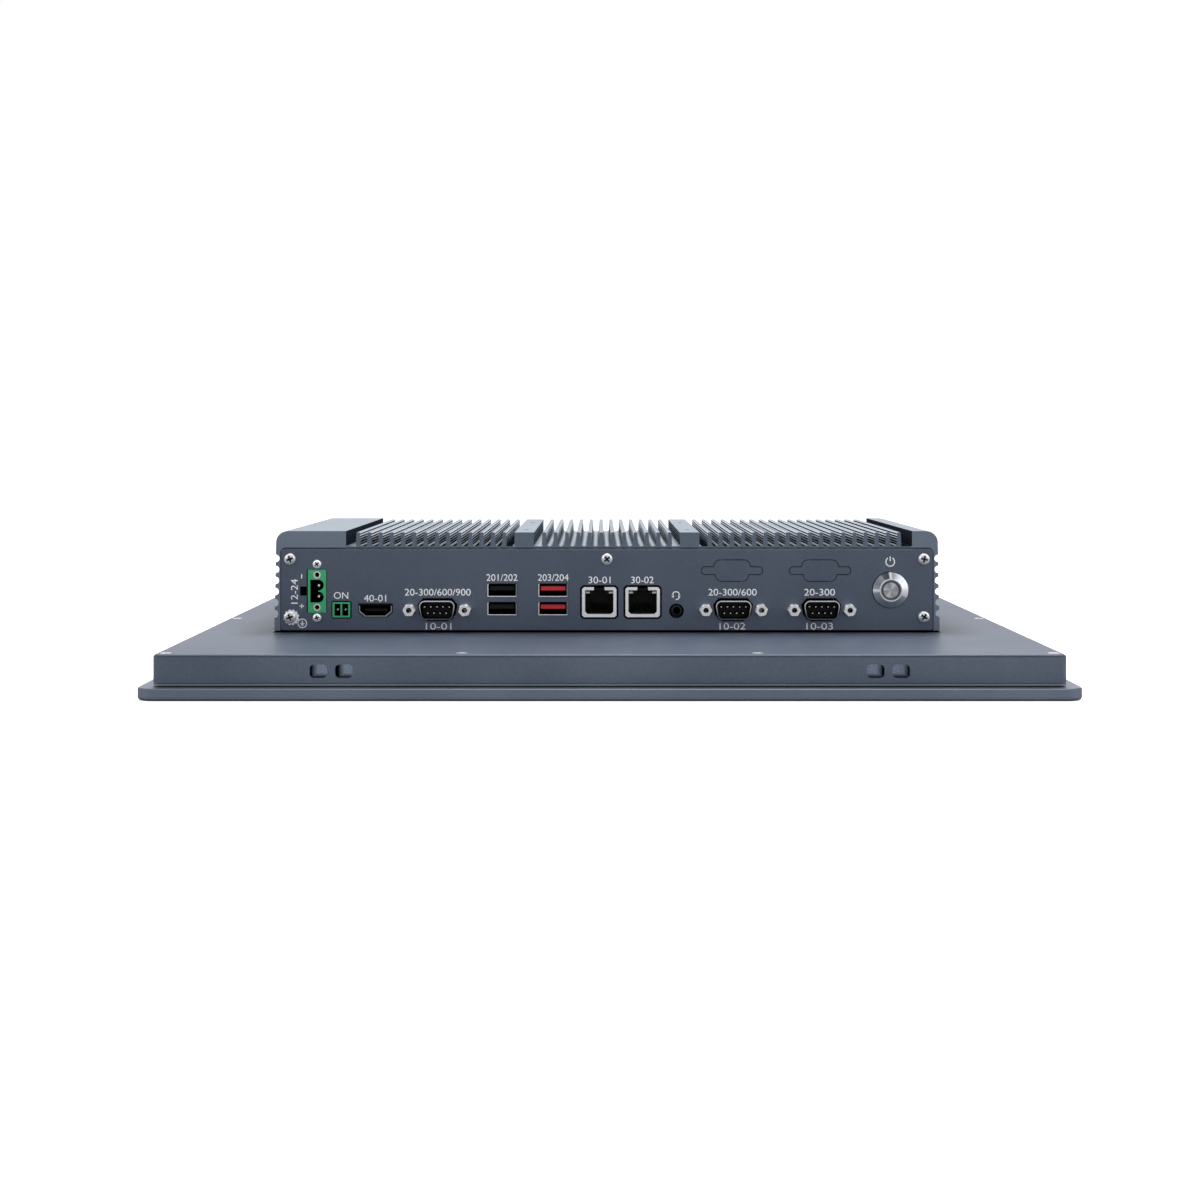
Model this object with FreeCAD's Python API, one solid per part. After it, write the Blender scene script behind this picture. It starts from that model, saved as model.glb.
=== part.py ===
import FreeCAD, Part
import math
import os

V = FreeCAD.Vector

# Fanless panel computer, lying on its display face.
# X runs along the connector side, +Y away from it, +Z out of the back of the panel.
# The origin is the middle of the display face. All sizes are in millimetres.

# Front bezel, a machined aluminium frame
bezel_w = 382.0
bezel_d = 309.0
bezel_t = 5.1
bezel_corner_r = 7.0
bezel_edge_r = 1.5
bezel_back_bevel = 0.4
window_margin_x = 37.0
window_margin_y = 38.5
bezel_skin = 1.6

# Touch glass, held in a recess of the bezel by a ring of tape
glass_margin = 26.0
glass_t = 2.0
glass_corner_r = 4.0
glass_gap = 0.3
glass_sunk = 0.1
tape_t = 0.5
tape_inset = 1.0

# Display module behind the bezel
lcd_margin = 27.75
lcd_t = 8.0
lcd_corner_r = 2.0
lcd_board_w = 210.0
lcd_board_d = 22.0
lcd_board_t = 1.2
lcd_board_in = 31.75

# Sheet frame that carries the display module, and the gasket under it
flange = 5.8
gasket_t = 0.5
gasket_inset = 1.0
gasket_lip = 1.5
frame_t = 0.6
frame_gap = 0.5
clip_t = 1.2
clip_w = 12.0
clip_foot = 11.0
clip_tab = 6.0
clip_y = 70.0

# Rear cover, a folded sheet pan
cover_top_z = 18.1
cover_t = 1.5
cover_corner_r = 3.0
cover_edge_r = 1.2
seam_h = 0.4
seam_in = 0.5
cover_screw_in_x = 4.2
cover_screw_in_y = 6.3
cover_columns = 4
post_r = 2.5
cover_screw_l = 6.0
slot_w = 7.2
slot_h = 5.5
slot_r = 1.9
slot_z = 11.4
slot_pitch = 10.3
slot_pair_x = 112.7
slot_pair_y = 60.0

# Opening that lets the display cable through to the computer
pass_w = 60.0
pass_d = 12.0
pass_r = 3.0
pass_back = 11.0

# Computer box on the back of the panel
box_shift_x = -0.8
box_front_y = -64.1
box_w = 299.7
box_depth = 142.0
box_h = 45.1
side_flare = 0.9
base_gap = 0.6
box_corner_r = 5.2

# Fins of the extruded cover, from the left block to the right block
left_block_w = 31.6
right_block_w = 11.6
left_channel = 4.6
right_channel = 5.0
fin_drop = 0.6
fin_depth = 6.3
fin_root_rise = 0.7
fin_top_w = 1.3
fin_root_w = 1.9
fin_counts = (14, 12, 18)
fin_teeth = 5
tooth_depth = 0.24
rib_w = 8.8
rib_gap = 3.7

# Grooves along the side walls of the extruded cover
groove_count = 6
groove_r = 1.7
groove_pitch = 5.0
groove_first_z = 7.7

# Inside of the extruded cover
wall_t = 5.05
deck_t = 4.0
foot_w = 7.3
foot_top = 10.0
port_w = 5.4
port_h = 5.5
port_skin = 0.6
centre_port_w = 3.5
base_lap = 1.0

# Arm mount in the two ribs
arm_pitch = 75.0
arm_hole_r = 1.65
arm_hole_depth = 6.0

# Sheet plates that close the box
plate_t = 2.0
plate_inset = 2.3
plate_drop = 1.0
plate_corner_r = 2.0
plate_foot_r = 1.0
plate_edge_r = 0.6
plate_screw_in = 6.65
plate_screw_low = 6.4
plate_screw_down = 1.7
base_t = 1.5
base_play = 0.2
base_end_play = 0.6
base_screw_in = 3.8
base_screw_end = 21.0
hold_screw_in = 19.8
hold_screw_end = 16.0
hold_boss_r = 4.0
hold_boss_h = 3.3

# Screws: radius of the head, its height, radius of the shank
m3 = (2.65, 1.8, 1.5)
m3_small = (2.0, 1.4, 1.2)
m3_low = (2.75, 1.4, 1.5)
m4 = (3.6, 2.2, 2.0)
m3_sunk = (2.9, 1.6, 1.5)
m25_sunk = (2.35, 1.3, 1.25)
thread_play = 0.05
hole_play = 0.25
screw_grip = 8.0
bore_beyond = 1.0
tip_room = 0.3

# Ground screw and its toothed washer
ground_low = 6.2
washer_r = 3.0
washer_tooth = 0.55
washer_teeth = 12
washer_hole_r = 2.2
washer_t = 0.5
washer_slip = 0.6

# Main board and what stands on it
board_t = 1.6
board_top = 6.3
board_left = 19.6
board_right = 27.8
board_front = 1.2
board_back = 21.8
stud_r = 3.0
stud_in = 5.6
stud_mid_x = -15.0
stud_front = 22.9
stud_back = 6.1
chip_size = 30.0
chip_h = 2.4
coil_size = 7.0
coil_h = 4.0
coil_x = -12.0
coil_y = -22.0
capacitor_r = 3.2
capacitor_h = 8.0
capacitor_x = 72.0
capacitor_y = -12.0
part_pitch = 11.0
spreader_size = 50.0
spreader_x = 36.0
spreader_gap = 4.5
memory_w = 67.6
memory_d = 30.0
memory_t = 1.2
memory_lift = 3.2
memory_x = -56.0
memory_y = -5.0
memory_chips = 4
memory_chip_w = 10.0
memory_chip_d = 12.0
memory_chip_h = 1.0
storage_w = 80.0
storage_d = 22.0
storage_t = 0.8
storage_lift = 2.2
storage_in_x = 9.0
storage_in_y = 0.6
storage_chips = 3
storage_chip = 14.0
storage_chip_h = 1.2
storage_chip_pitch = 20.0
socket_t = 6.0
socket_rise = 2.0
module_post_r = 2.2
module_post_in = 3.0

# How far a connector's mouth stands out of the plate, and the play round it
proud = 0.5
cut_play = 0.4

# The row of connectors: its room at both ends, and the gaps from one connector to the next
row_left = 8.7
row_right = 7.46
row_gaps = (1.9, 4.0, 5.2, 6.5, 8.4, 5.8, 4.0, 4.0, 6.7, 9.0, 6.66)

# Supply inlet, upright, with two flange nuts
inlet_low = 0.5
inlet_w = 8.2
inlet_h = 19.4
inlet_depth = 12.0
inlet_cavity_w = 6.1
inlet_cavity_h = 10.3
inlet_cavity_depth = 8.5
inlet_lobe_r = 2.45
inlet_pin_pitch = 4.9
inlet_pin_r = 0.5
inlet_pin_x = 0.65
inlet_pin_l = 7.0
inlet_nut_pitch = 14.7
inlet_nut_r = 1.6
inlet_nut_hole_r = 1.1
inlet_nut_l = 6.0
inlet_screw_pitch = 24.2
inlet_shoulder = 1.0
inlet_play = 0.15
inlet_slip = 0.45
inlet_notch_w = 3.6
inlet_notch_h = 4.1
bracket_t = 2.0
bracket_margin = 1.2

# Two-way switch terminal
switch_rise = 3.35
switch_w = 8.0
switch_h = 6.9
switch_depth = 8.5
switch_cell_w = 2.75
switch_cell_h = 5.4
switch_cell_depth = 6.5
switch_pitch = 3.5
switch_pin_r = 0.4
switch_pin_l = 5.0

# Video port
video_rise = 3.05
video_w = 14.8
video_h = 5.5
video_wall = 0.4
video_chamfer_w = 2.5
video_chamfer_h = 2.2
video_depth = 11.0
video_tongue_w = 10.0
video_tongue_h = 1.2
video_tongue_l = 7.5

# Serial ports: D-shaped shell between two hex standoffs
serial_rise = 3.4
shell_w = 16.9
shell_h = 8.6
shell_r = 2.6
shell_wall = 0.5
shell_out = 3.8
shell_slope = 10.0
serial_flange_w = 30.8
serial_flange_h = 12.4
serial_flange_t = 0.8
serial_flange_r = 1.5
serial_body_depth = 10.0
serial_body_lip = 1.0
jack_pitch = 25.0
hex_flats = 5.0
hex_l = 5.0
hex_hole_r = 1.35
hex_stud_r = 1.4
hex_stud_beyond = 1.5
hex_turns = (0, 12)
pin_pitch = 2.77
pin_row = 2.84
pin_r = 0.5
pin_recess = 1.0
knockout_shift = -0.5
knockout_down = 9.9
knockout_w = 17.9
knockout_h = 10.1
knockout_r = 3.0
knockout_ear_w = 28.2
knockout_ear_h = 3.9
knockout_cut = 0.35
knockout_web = 0.7

# Stacked data ports: one black pair, one red pair
data_low = 0.9
data_step = 8.3
data_w = 13.2
data_h = 5.8
data_wall = 0.35
data_depth = 12.0
data_body_w = 14.6
data_body_depth = 16.0
data_roof = 0.6
tongue_w = 11.1
tongue_h = 1.9
tongue_rise = 0.9
tongue_sunk = 1.0

# Network ports
lan_w = 15.6
lan_h = 13.6
lan_skin = 0.5
lan_lip = 1.4
lan_chamfer = 2.2
lan_notch_w = 4.9
lan_depth = 18.0
lan_cavity_w = 11.9
lan_cavity_low = 4.9
lan_cavity_high = 3.7
lan_cavity_depth = 13.0
lan_latch_w = 6.2
lan_latch_h = 1.8
lan_cut_play = 0.5
lan_cut_r = 0.9
lan_light_w = 2.5
lan_light_h = 1.3
lan_light_in = 1.0
lan_light_l = 3.0
lan_light_sunk = 0.1
lan_foot_t = 1.0
lan_foot_in = 2.3
lan_contact_count = 8
lan_contact_pitch = 1.02
lan_contact_w = 0.45
lan_contact_in = 3.0
lan_contact_rise = 3.2

# Audio jack
audio_rise = 2.8
audio_nose_r = 2.65
audio_cut_r = 3.35
audio_hole_r = 1.8
audio_hole_l = 12.0
audio_body_w = 7.0
audio_body_l = 14.0

# Power button
button_flange_r = 8.0
button_rim_r = 5.1
button_rim_w = 0.5
button_flange_t = 0.7
button_cone_h = 1.4
button_barrel_r = 6.0
button_barrel_l = 20.0
button_ring_r = 3.8
button_ring_l = 5.0
button_ring_sunk = 0.3
button_cap_r = 3.65
button_cap_l = 4.2
button_cap_bevel = 0.25
button_stem_r = 2.0
button_stem_l = 3.0
button_travel = 1.8
button_cap_sunk = 0.15
button_nut_flats = 16.0
button_nut_t = 2.5
button_blade_w = 2.4
button_blade_t = 0.8
button_blade_l = 5.0

# Places worked out from the sizes above
window_w = bezel_w - 2 * window_margin_x
window_d = bezel_d - 2 * window_margin_y
glass_w = bezel_w - 2 * glass_margin
glass_d = bezel_d - 2 * glass_margin
lcd_w = bezel_w - 2 * lcd_margin
lcd_d = bezel_d - 2 * lcd_margin
gasket_z = bezel_t
frame_z = gasket_z + gasket_t
frame_top_z = frame_z + frame_t
cover_w = bezel_w - 2 * flange
cover_d = bezel_d - 2 * flange
cover_ceiling_z = cover_top_z - cover_t
glass_face_z = glass_sunk
ledge_z = glass_sunk + glass_t + tape_t
lcd_back_z = bezel_t + lcd_t
box_z = cover_top_z + base_gap
box_back_y = box_front_y + box_depth
shell_front_y = box_front_y + plate_t
shell_back_y = box_back_y - plate_t
box_mid_y = (box_front_y + box_back_y) / 2
half_box = box_w / 2
half_in = half_box - wall_t
fin_top = box_h - fin_drop
fin_floor = fin_top - fin_depth
fin_root = fin_floor + fin_root_rise
deck_z = fin_floor - deck_t
base_rise = base_t - base_gap
plate_w = box_w - 2 * plate_inset
plate_h = fin_floor - plate_drop
plate_screw_x = half_box - plate_screw_in
plate_screw_high = deck_z - plate_screw_down
base_port_top = plate_screw_low - m3[2] - port_skin
base_screw_x = half_in - base_screw_in
base_screw_y = box_depth / 2 - base_screw_end
hold_screw_x = half_in - hold_screw_in
hold_screw_y = box_depth / 2 - hold_screw_end
board_x0 = -half_in + board_left
board_x1 = half_in - board_right
board_y0 = shell_front_y + board_front
board_y1 = shell_back_y - board_back
stud_x = (board_x0 + stud_in, stud_mid_x, board_x1 - stud_in)
stud_y = (board_y0 + stud_front, board_y1 - stud_back)
storage_x = board_x1 - storage_in_x - storage_w
storage_y = board_y1 - storage_in_y - storage_d
spreader_y = storage_y - spreader_gap - spreader_size / 2
arm_mid_y = 0.0
switch_z = board_top + switch_rise
video_z = board_top + video_rise
serial_z = board_top + serial_rise
data_z = (board_top + data_low + data_h / 2 + data_step, board_top + data_low + data_h / 2)
lan_z = board_top + lan_h / 2
audio_z = board_top + audio_rise
inlet_z = plate_h / 2 - inlet_low
button_z = plate_h / 2
knockout_z = plate_h - knockout_down


def row_places():
    """Middles of the connectors. Their gaps keep their proportions and share the room that is left."""
    serial = serial_flange_w / 2
    data = data_body_w / 2
    halves = [inlet_w / 2 + inlet_shoulder, switch_w / 2, video_w / 2, serial, data, data]
    halves += [lan_w / 2, lan_w / 2, audio_body_w / 2, serial, serial, button_nut_flats / math.sqrt(3)]
    room = 2 * half_in - row_left - row_right - 2 * sum(halves)
    places = []
    edge = -half_in + row_left
    for half, gap in zip(halves, row_gaps + (0.0,)):
        places.append(edge + half)
        edge += 2 * half + gap * room / sum(row_gaps)
    return places


row = row_places()
inlet_x, switch_x, video_x = row[:3]
data_x = row[4:6]
lan_x = row[6:8]
audio_x = row[8]
serial_x = (row[3], row[9], row[10])
button_x = row[11]
knockout_x = [x + knockout_shift for x in serial_x[1:]]


def block(x0, x1, y0, y1, z0, z1):
    """A plain block between two opposite corners."""
    return Part.makeBox(x1 - x0, y1 - y0, z1 - z0, V(x0, y0, z0))


def rod(radius, start, length, axis):
    """A round bar from its start along an axis."""
    return Part.makeCylinder(radius, length, start, axis)


def fuse(shapes):
    """One solid out of several that touch or overlap."""
    whole = shapes[0].fuse(shapes[1:]) if len(shapes) > 1 else shapes[0]
    return whole.removeSplitter()


def upright(y):
    """Places a flat profile in the plane across the box at depth y."""
    return lambda u, v: V(u, y, v)


def level(z):
    """Places a flat profile in the plane of height z."""
    return lambda u, v: V(u, v, z)


class Outline:
    """A closed profile drawn point by point, from straight runs and arcs."""

    def __init__(self, place, u, v):
        self.place = place
        self.start = (u, v)
        self.here = (u, v)
        self.edges = []

    def line(self, u, v):
        if math.hypot(u - self.here[0], v - self.here[1]) > 1e-6:
            ends = self.place(*self.here), self.place(u, v)
            self.edges.append(Part.LineSegment(*ends).toShape())
            self.here = (u, v)

    def arc(self, middle, end):
        points = self.place(*self.here), self.place(*middle), self.place(*end)
        self.edges.append(Part.Arc(*points).toShape())
        self.here = end

    def face(self):
        self.line(*self.start)
        return Part.Face(Part.Wire(self.edges))


def rounded(place, corners, radius):
    """A polygon whose corners are arcs; radius is one number, or one for each corner."""
    radii = radius if isinstance(radius, (list, tuple)) else [radius] * len(corners)
    outline = None
    for k, (corner, r) in enumerate(zip(corners, radii)):
        before = corners[k - 1]
        after = corners[(k + 1) % len(corners)]
        to_before = (before[0] - corner[0], before[1] - corner[1])
        to_after = (after[0] - corner[0], after[1] - corner[1])
        long_before = math.hypot(*to_before)
        long_after = math.hypot(*to_after)
        a = (to_before[0] / long_before, to_before[1] / long_before)
        b = (to_after[0] / long_after, to_after[1] / long_after)
        half_turn = math.acos(max(-1.0, min(1.0, a[0] * b[0] + a[1] * b[1]))) / 2
        reach = r / math.tan(half_turn)
        first = (corner[0] + a[0] * reach, corner[1] + a[1] * reach)
        last = (corner[0] + b[0] * reach, corner[1] + b[1] * reach)
        bisector = (a[0] + b[0], a[1] + b[1])
        size = math.hypot(*bisector)
        top = r / math.sin(half_turn) - r
        middle = (corner[0] + bisector[0] / size * top, corner[1] + bisector[1] / size * top)
        if outline is None:
            outline = Outline(place, *first)
        else:
            outline.line(*first)
        if r > 0:
            outline.arc(middle, last)
    return outline.face()


def rectangle(cu, cv, w, h):
    """The corners of a rectangle about a middle, anticlockwise."""
    return [
        (cu - w / 2, cv - h / 2),
        (cu + w / 2, cv - h / 2),
        (cu + w / 2, cv + h / 2),
        (cu - w / 2, cv + h / 2),
    ]


def slab(z0, z1, w, d, r, cx=0.0, cy=0.0):
    """A level slab with rounded plan corners."""
    face = rounded(level(z0), rectangle(cx, cy, w, d), r)
    return face.extrude(V(0, 0, z1 - z0))


def bar(y0, y1, corners, radius=0.0):
    """A bar along Y whose section is a polygon with rounded corners."""
    return rounded(upright(y0), corners, radius).extrude(V(0, y1 - y0, 0))


def turned(profile, at, axis):
    """A turned piece: profile is (radius, height) about its own axis, set at a point along an axis."""
    points = [V(r, 0, h) for r, h in profile]
    face = Part.Face(Part.makePolygon(points + points[:1]))
    solid = face.revolve(V(0, 0, 0), V(0, 0, 1), 360)
    solid.Placement = FreeCAD.Placement(at, FreeCAD.Rotation(V(0, 0, 1), axis))
    return solid


def pan_screw(size, at, axis, length):
    """A pan-head screw: at is under its head, axis points out to the head's top."""
    head_r, head_h, shank_r = size
    profile = [
        (0, -length),
        (shank_r, -length),
        (shank_r, 0),
        (head_r, 0),
        (head_r, 0.45 * head_h),
        (0.62 * head_r, head_h),
        (0, head_h),
    ]
    return turned(profile, at, axis)


def sunk_screw(size, at, axis, length):
    """A countersunk screw: at is the middle of its flat head's top."""
    head_r, head_h, shank_r = size
    profile = [(0, -length), (shank_r, -length), (shank_r, -head_h), (head_r, 0), (0, 0)]
    return turned(profile, at, axis)


def sunk_hole(size, at, axis, length):
    """The hole that a countersunk screw sits in, through a sheet."""
    head_r, head_h, shank_r = size
    hole_r = shank_r + hole_play
    grow = head_r + thread_play
    slope = (head_r - shank_r) / head_h
    seat = (grow - hole_r) / slope
    profile = [(0, -length), (hole_r, -length), (hole_r, -seat), (grow, 0), (grow, 1), (0, 1)]
    return turned(profile, at, axis)


def hexagon(place, cu, cv, flats, turn):
    """A hexagon of a given width across its flats, turned by some degrees."""
    radius = flats / math.sqrt(3)
    angles = [math.radians(turn + 60 * k) for k in range(6)]
    corners = [(cu + radius * math.cos(a), cv + radius * math.sin(a)) for a in angles]
    return rounded(place, corners, 0.0)


def d_corners(cu, cv, w, h):
    """The corners of a D-shaped connector, wide side up."""
    lean = h * math.tan(math.radians(shell_slope))
    return [
        (cu - w / 2 + lean, cv - h / 2),
        (cu + w / 2 - lean, cv - h / 2),
        (cu + w / 2, cv + h / 2),
        (cu - w / 2, cv + h / 2),
    ]


def bx(x):
    """X of a place on the computer box, measured from the box's own middle."""
    return box_shift_x + x


def bz(z):
    """Height of a place on the computer box, measured from the box's own foot."""
    return box_z + z


def save(name, *solids):
    """Writes one node; several solids of one node stay separate."""
    shape = solids[0] if len(solids) == 1 else Part.makeCompound(list(solids))
    if not shape.isValid():
        print("not valid:", name)
    shape.exportStep(os.path.join("parts", name + ".step"))
    print(name, "solids", len(shape.Solids), "volume", round(shape.Volume, 1))


def cover_screw_places():
    """Two rows of screws, and one at the middle of each short side."""
    far_x = cover_w / 2 - cover_screw_in_x
    far_y = cover_d / 2 - cover_screw_in_y
    step = 2 * far_x / (cover_columns - 1)
    rows = [(-far_x + step * k, side * far_y) for side in (-1, 1) for k in range(cover_columns)]
    return rows + [(-far_x, 0.0), (far_x, 0.0)]


def frame_screw_places():
    """Screws that hold the display frame to the bezel, in the strip beside the module."""
    strip_x = (lcd_w / 2 + cover_w / 2) / 2
    strip_y = (lcd_d / 2 + cover_d / 2) / 2
    ends = [(sx * strip_x, sy * cover_d / 3) for sx in (-1, 1) for sy in (-1, 1)]
    sides = [(sx * cover_w / 4, sy * strip_y) for sx in (-1, 1) for sy in (-1, 1)]
    return ends + sides


def clip_screw_places():
    x = lcd_w / 2 + frame_gap + clip_t + clip_foot / 2
    return [(sx * x, sy * clip_y) for sx in (-1, 1) for sy in (-1, 1)]


def bezel_screws_depth():
    """Length of thread that the frame and clip screws have in the bezel."""
    return bezel_t - bezel_skin


def front_bezel():
    body = slab(0, bezel_t, bezel_w, bezel_d, bezel_corner_r)
    front = [e for e in body.Edges if abs(e.BoundBox.ZMax) < 1e-6]
    body = body.makeFillet(bezel_edge_r, front)
    back = [e for e in body.Edges if e.BoundBox.ZMin > bezel_t - 1e-6]
    body = body.makeChamfer(bezel_back_bevel, back)
    recess = slab(
        -1, ledge_z, glass_w + 2 * glass_gap, glass_d + 2 * glass_gap, glass_corner_r + glass_gap
    )
    window = slab(-1, bezel_t + 1, window_w, window_d, glass_corner_r)
    holes = [
        rod(m3[2] + thread_play, V(x, y, bezel_t - bezel_screws_depth()), bezel_t, V(0, 0, 1))
        for x, y in frame_screw_places() + clip_screw_places()
    ]
    save("front_bezel", body.cut([recess, window] + holes))


def glass_and_tape():
    save("touch_glass", slab(glass_face_z, glass_face_z + glass_t, glass_w, glass_d, glass_corner_r))
    tape_z = glass_face_z + glass_t
    outer = slab(tape_z, ledge_z, glass_w - 2 * tape_inset, glass_d - 2 * tape_inset, glass_corner_r)
    inner_w = window_w + 2 * tape_inset
    inner_d = window_d + 2 * tape_inset
    save("glass_tape", outer.cut(slab(tape_z - 1, ledge_z + 1, inner_w, inner_d, glass_corner_r)))


def lcd_module():
    body = slab(bezel_t, lcd_back_z, lcd_w, lcd_d, lcd_corner_r)
    driver = slab(
        lcd_back_z, lcd_back_z + lcd_board_t, lcd_board_w, lcd_board_d, 0.0, 0.0, lcd_board_in - lcd_d / 2
    )
    save("lcd_module", fuse([body, driver]))


def lcd_clips():
    """Four bent clips that hold the module down on the bezel by its edge."""
    clips = []
    edge = lcd_w / 2 + frame_gap
    top = lcd_back_z + clip_t
    section = [
        (edge, frame_top_z),
        (edge + clip_t + clip_foot, frame_top_z),
        (edge + clip_t + clip_foot, frame_top_z + clip_t),
        (edge + clip_t, frame_top_z + clip_t),
        (edge + clip_t, top),
        (lcd_w / 2 - clip_tab, top),
        (lcd_w / 2 - clip_tab, lcd_back_z),
        (edge, lcd_back_z),
    ]
    for x, y in clip_screw_places():
        side = math.copysign(1, x)
        clip = bar(y - clip_w / 2, y + clip_w / 2, [(side * u, v) for u, v in section])
        hole = rod(m3[2] + hole_play, V(x, y, frame_z), 2 * clip_t, V(0, 0, 1))
        clips.append(clip.cut(hole))
    save("lcd_clips", *clips)


def frame_and_gasket():
    """The sheet frame round the module, whose edge shows as a thin line, and the seal below it."""
    screws = frame_screw_places() + clip_screw_places()
    holes = [rod(m3[2] + hole_play, V(x, y, 0), frame_top_z + 1, V(0, 0, 1)) for x, y in screws]
    frame = slab(frame_z, frame_top_z, cover_w, cover_d, cover_corner_r)
    opening = slab(
        frame_z - 1, frame_top_z + 1, lcd_w + 2 * frame_gap, lcd_d + 2 * frame_gap, lcd_corner_r
    )
    save("display_frame", frame.cut([opening] + holes))
    outer = slab(
        gasket_z, frame_z, cover_w - 2 * gasket_inset, cover_d - 2 * gasket_inset, cover_corner_r
    )
    inner = slab(
        gasket_z - 1, frame_z + 1, lcd_w + 2 * gasket_lip, lcd_d + 2 * gasket_lip, lcd_corner_r
    )
    save("bezel_gasket", outer.cut([inner] + holes))


def frame_screws():
    on_frame = [V(x, y, frame_top_z) for x, y in frame_screw_places()]
    on_clips = [V(x, y, frame_top_z + clip_t) for x, y in clip_screw_places()]
    reach = frame_top_z - bezel_t + bezel_screws_depth() - tip_room
    screws = [pan_screw(m3, at, V(0, 0, 1), reach) for at in on_frame]
    screws += [pan_screw(m3, at, V(0, 0, 1), reach + clip_t) for at in on_clips]
    save("frame_screws", *screws)


def clamp_slots():
    """Cutters for the pairs of rounded slots that panel clamps hook into, two pairs on each side."""
    cutters = []
    for side in (-1, 1):
        for pair in (-1, 1):
            for k in (-0.5, 0.5):
                wall_y = side * cover_d / 2
                corners = rectangle(pair * slot_pair_x + k * slot_pitch, slot_z, slot_w, slot_h)
                cutters.append(bar(wall_y - 2 * cover_t, wall_y + 2 * cover_t, corners, slot_r))
                across = bar(-2 * cover_t, 2 * cover_t, rectangle(0, slot_z, slot_w, slot_h), slot_r)
                across.rotate(V(0, 0, 0), V(0, 0, 1), 90)
                across.translate(V(side * cover_w / 2, pair * slot_pair_y + k * slot_pitch, 0))
                cutters.append(across)
    return cutters


def hold_screw_places():
    return [
        (bx(sx * hold_screw_x), box_mid_y + sy * hold_screw_y) for sx in (-1, 1) for sy in (-1, 1)
    ]


def cable_pass(z0, z1):
    """Cutter for the cable opening that the rear cover and the base plate share."""
    return slab(z0, z1, pass_w, pass_d, pass_r, bx(0), shell_back_y - pass_back)


def rear_cover():
    upper = slab(frame_top_z + seam_h, cover_top_z, cover_w, cover_d, cover_corner_r)
    rim = [e for e in upper.Edges if e.BoundBox.ZMin > cover_top_z - 1e-6]
    upper = upper.makeFillet(cover_edge_r, rim)
    lower = slab(
        frame_top_z,
        frame_top_z + seam_h,
        cover_w - 2 * seam_in,
        cover_d - 2 * seam_in,
        cover_corner_r - seam_in,
    )
    inside = slab(
        frame_top_z - 1,
        cover_ceiling_z,
        cover_w - 2 * cover_t,
        cover_d - 2 * cover_t,
        cover_corner_r - cover_t,
    )
    cutters = [inside, cable_pass(cover_ceiling_z - 1, cover_top_z + 1)]
    cutters += [
        sunk_hole(m25_sunk, V(x, y, cover_top_z), V(0, 0, 1), 2 * cover_t)
        for x, y in cover_screw_places()
    ]
    cutters += [
        rod(m4[2] + hole_play, V(x, y, cover_ceiling_z - 1), cover_t + 2, V(0, 0, 1))
        for x, y in hold_screw_places()
    ]
    save("rear_cover", fuse([upper, lower]).cut(cutters + clamp_slots()))


def cover_fixings():
    """Round posts on the display frame, and the countersunk screws that go into them."""
    posts = []
    screws = []
    for x, y in cover_screw_places():
        post = rod(post_r, V(x, y, frame_top_z), cover_ceiling_z - frame_top_z, V(0, 0, 1))
        deep = cover_screw_l + tip_room
        bore = rod(m25_sunk[2] + thread_play, V(x, y, cover_top_z - deep), deep, V(0, 0, 1))
        posts.append(post.cut(bore))
        screws.append(sunk_screw(m25_sunk, V(x, y, cover_top_z), V(0, 0, 1), cover_screw_l))
    save("cover_posts", *posts)
    save("rear_cover_screws", *screws)


def fin_half(z, tip=False):
    """Half the width of a fin at height z; a tooth's tip stands out by its depth."""
    share = (z - fin_root) / (fin_top - fin_root)
    return (fin_root_w + (fin_top_w - fin_root_w) * share) / 2 + (tooth_depth if tip else 0)


def flank(centre, side):
    """The saw-toothed side of a fin from its root to its top."""
    pitch = (fin_top - fin_root) / fin_teeth
    points = []
    for k in range(fin_teeth):
        z = fin_root + k * pitch
        points.append((centre + side * fin_half(z), z))
        points.append((centre + side * fin_half(z + pitch / 2, True), z + pitch / 2))
    points.append((centre + side * fin_half(fin_top), fin_top))
    return points


def fin_sections():
    """Where each group of fins stands: its two walls, the gaps beside them and its count."""
    rib_in = arm_pitch / 2 - rib_w / 2
    rib_out = arm_pitch / 2 + rib_w / 2
    left_in = -half_box + left_block_w
    right_in = half_box - right_block_w
    return [
        (left_in, -rib_out, left_channel, rib_gap, fin_counts[0]),
        (-rib_in, rib_in, rib_gap, rib_gap, fin_counts[1]),
        (rib_out, right_in, rib_gap, right_channel, fin_counts[2]),
    ]


def fin_centres(a, b, gap_a, gap_b, count):
    first = a + gap_a + fin_root_w / 2
    last = b - gap_b - fin_root_w / 2
    return [first + (last - first) * k / (count - 1) for k in range(count)]


def side_x(z):
    """Half width of the flared side wall at height z."""
    return half_box + side_flare * (1 - z / box_h)


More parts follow.
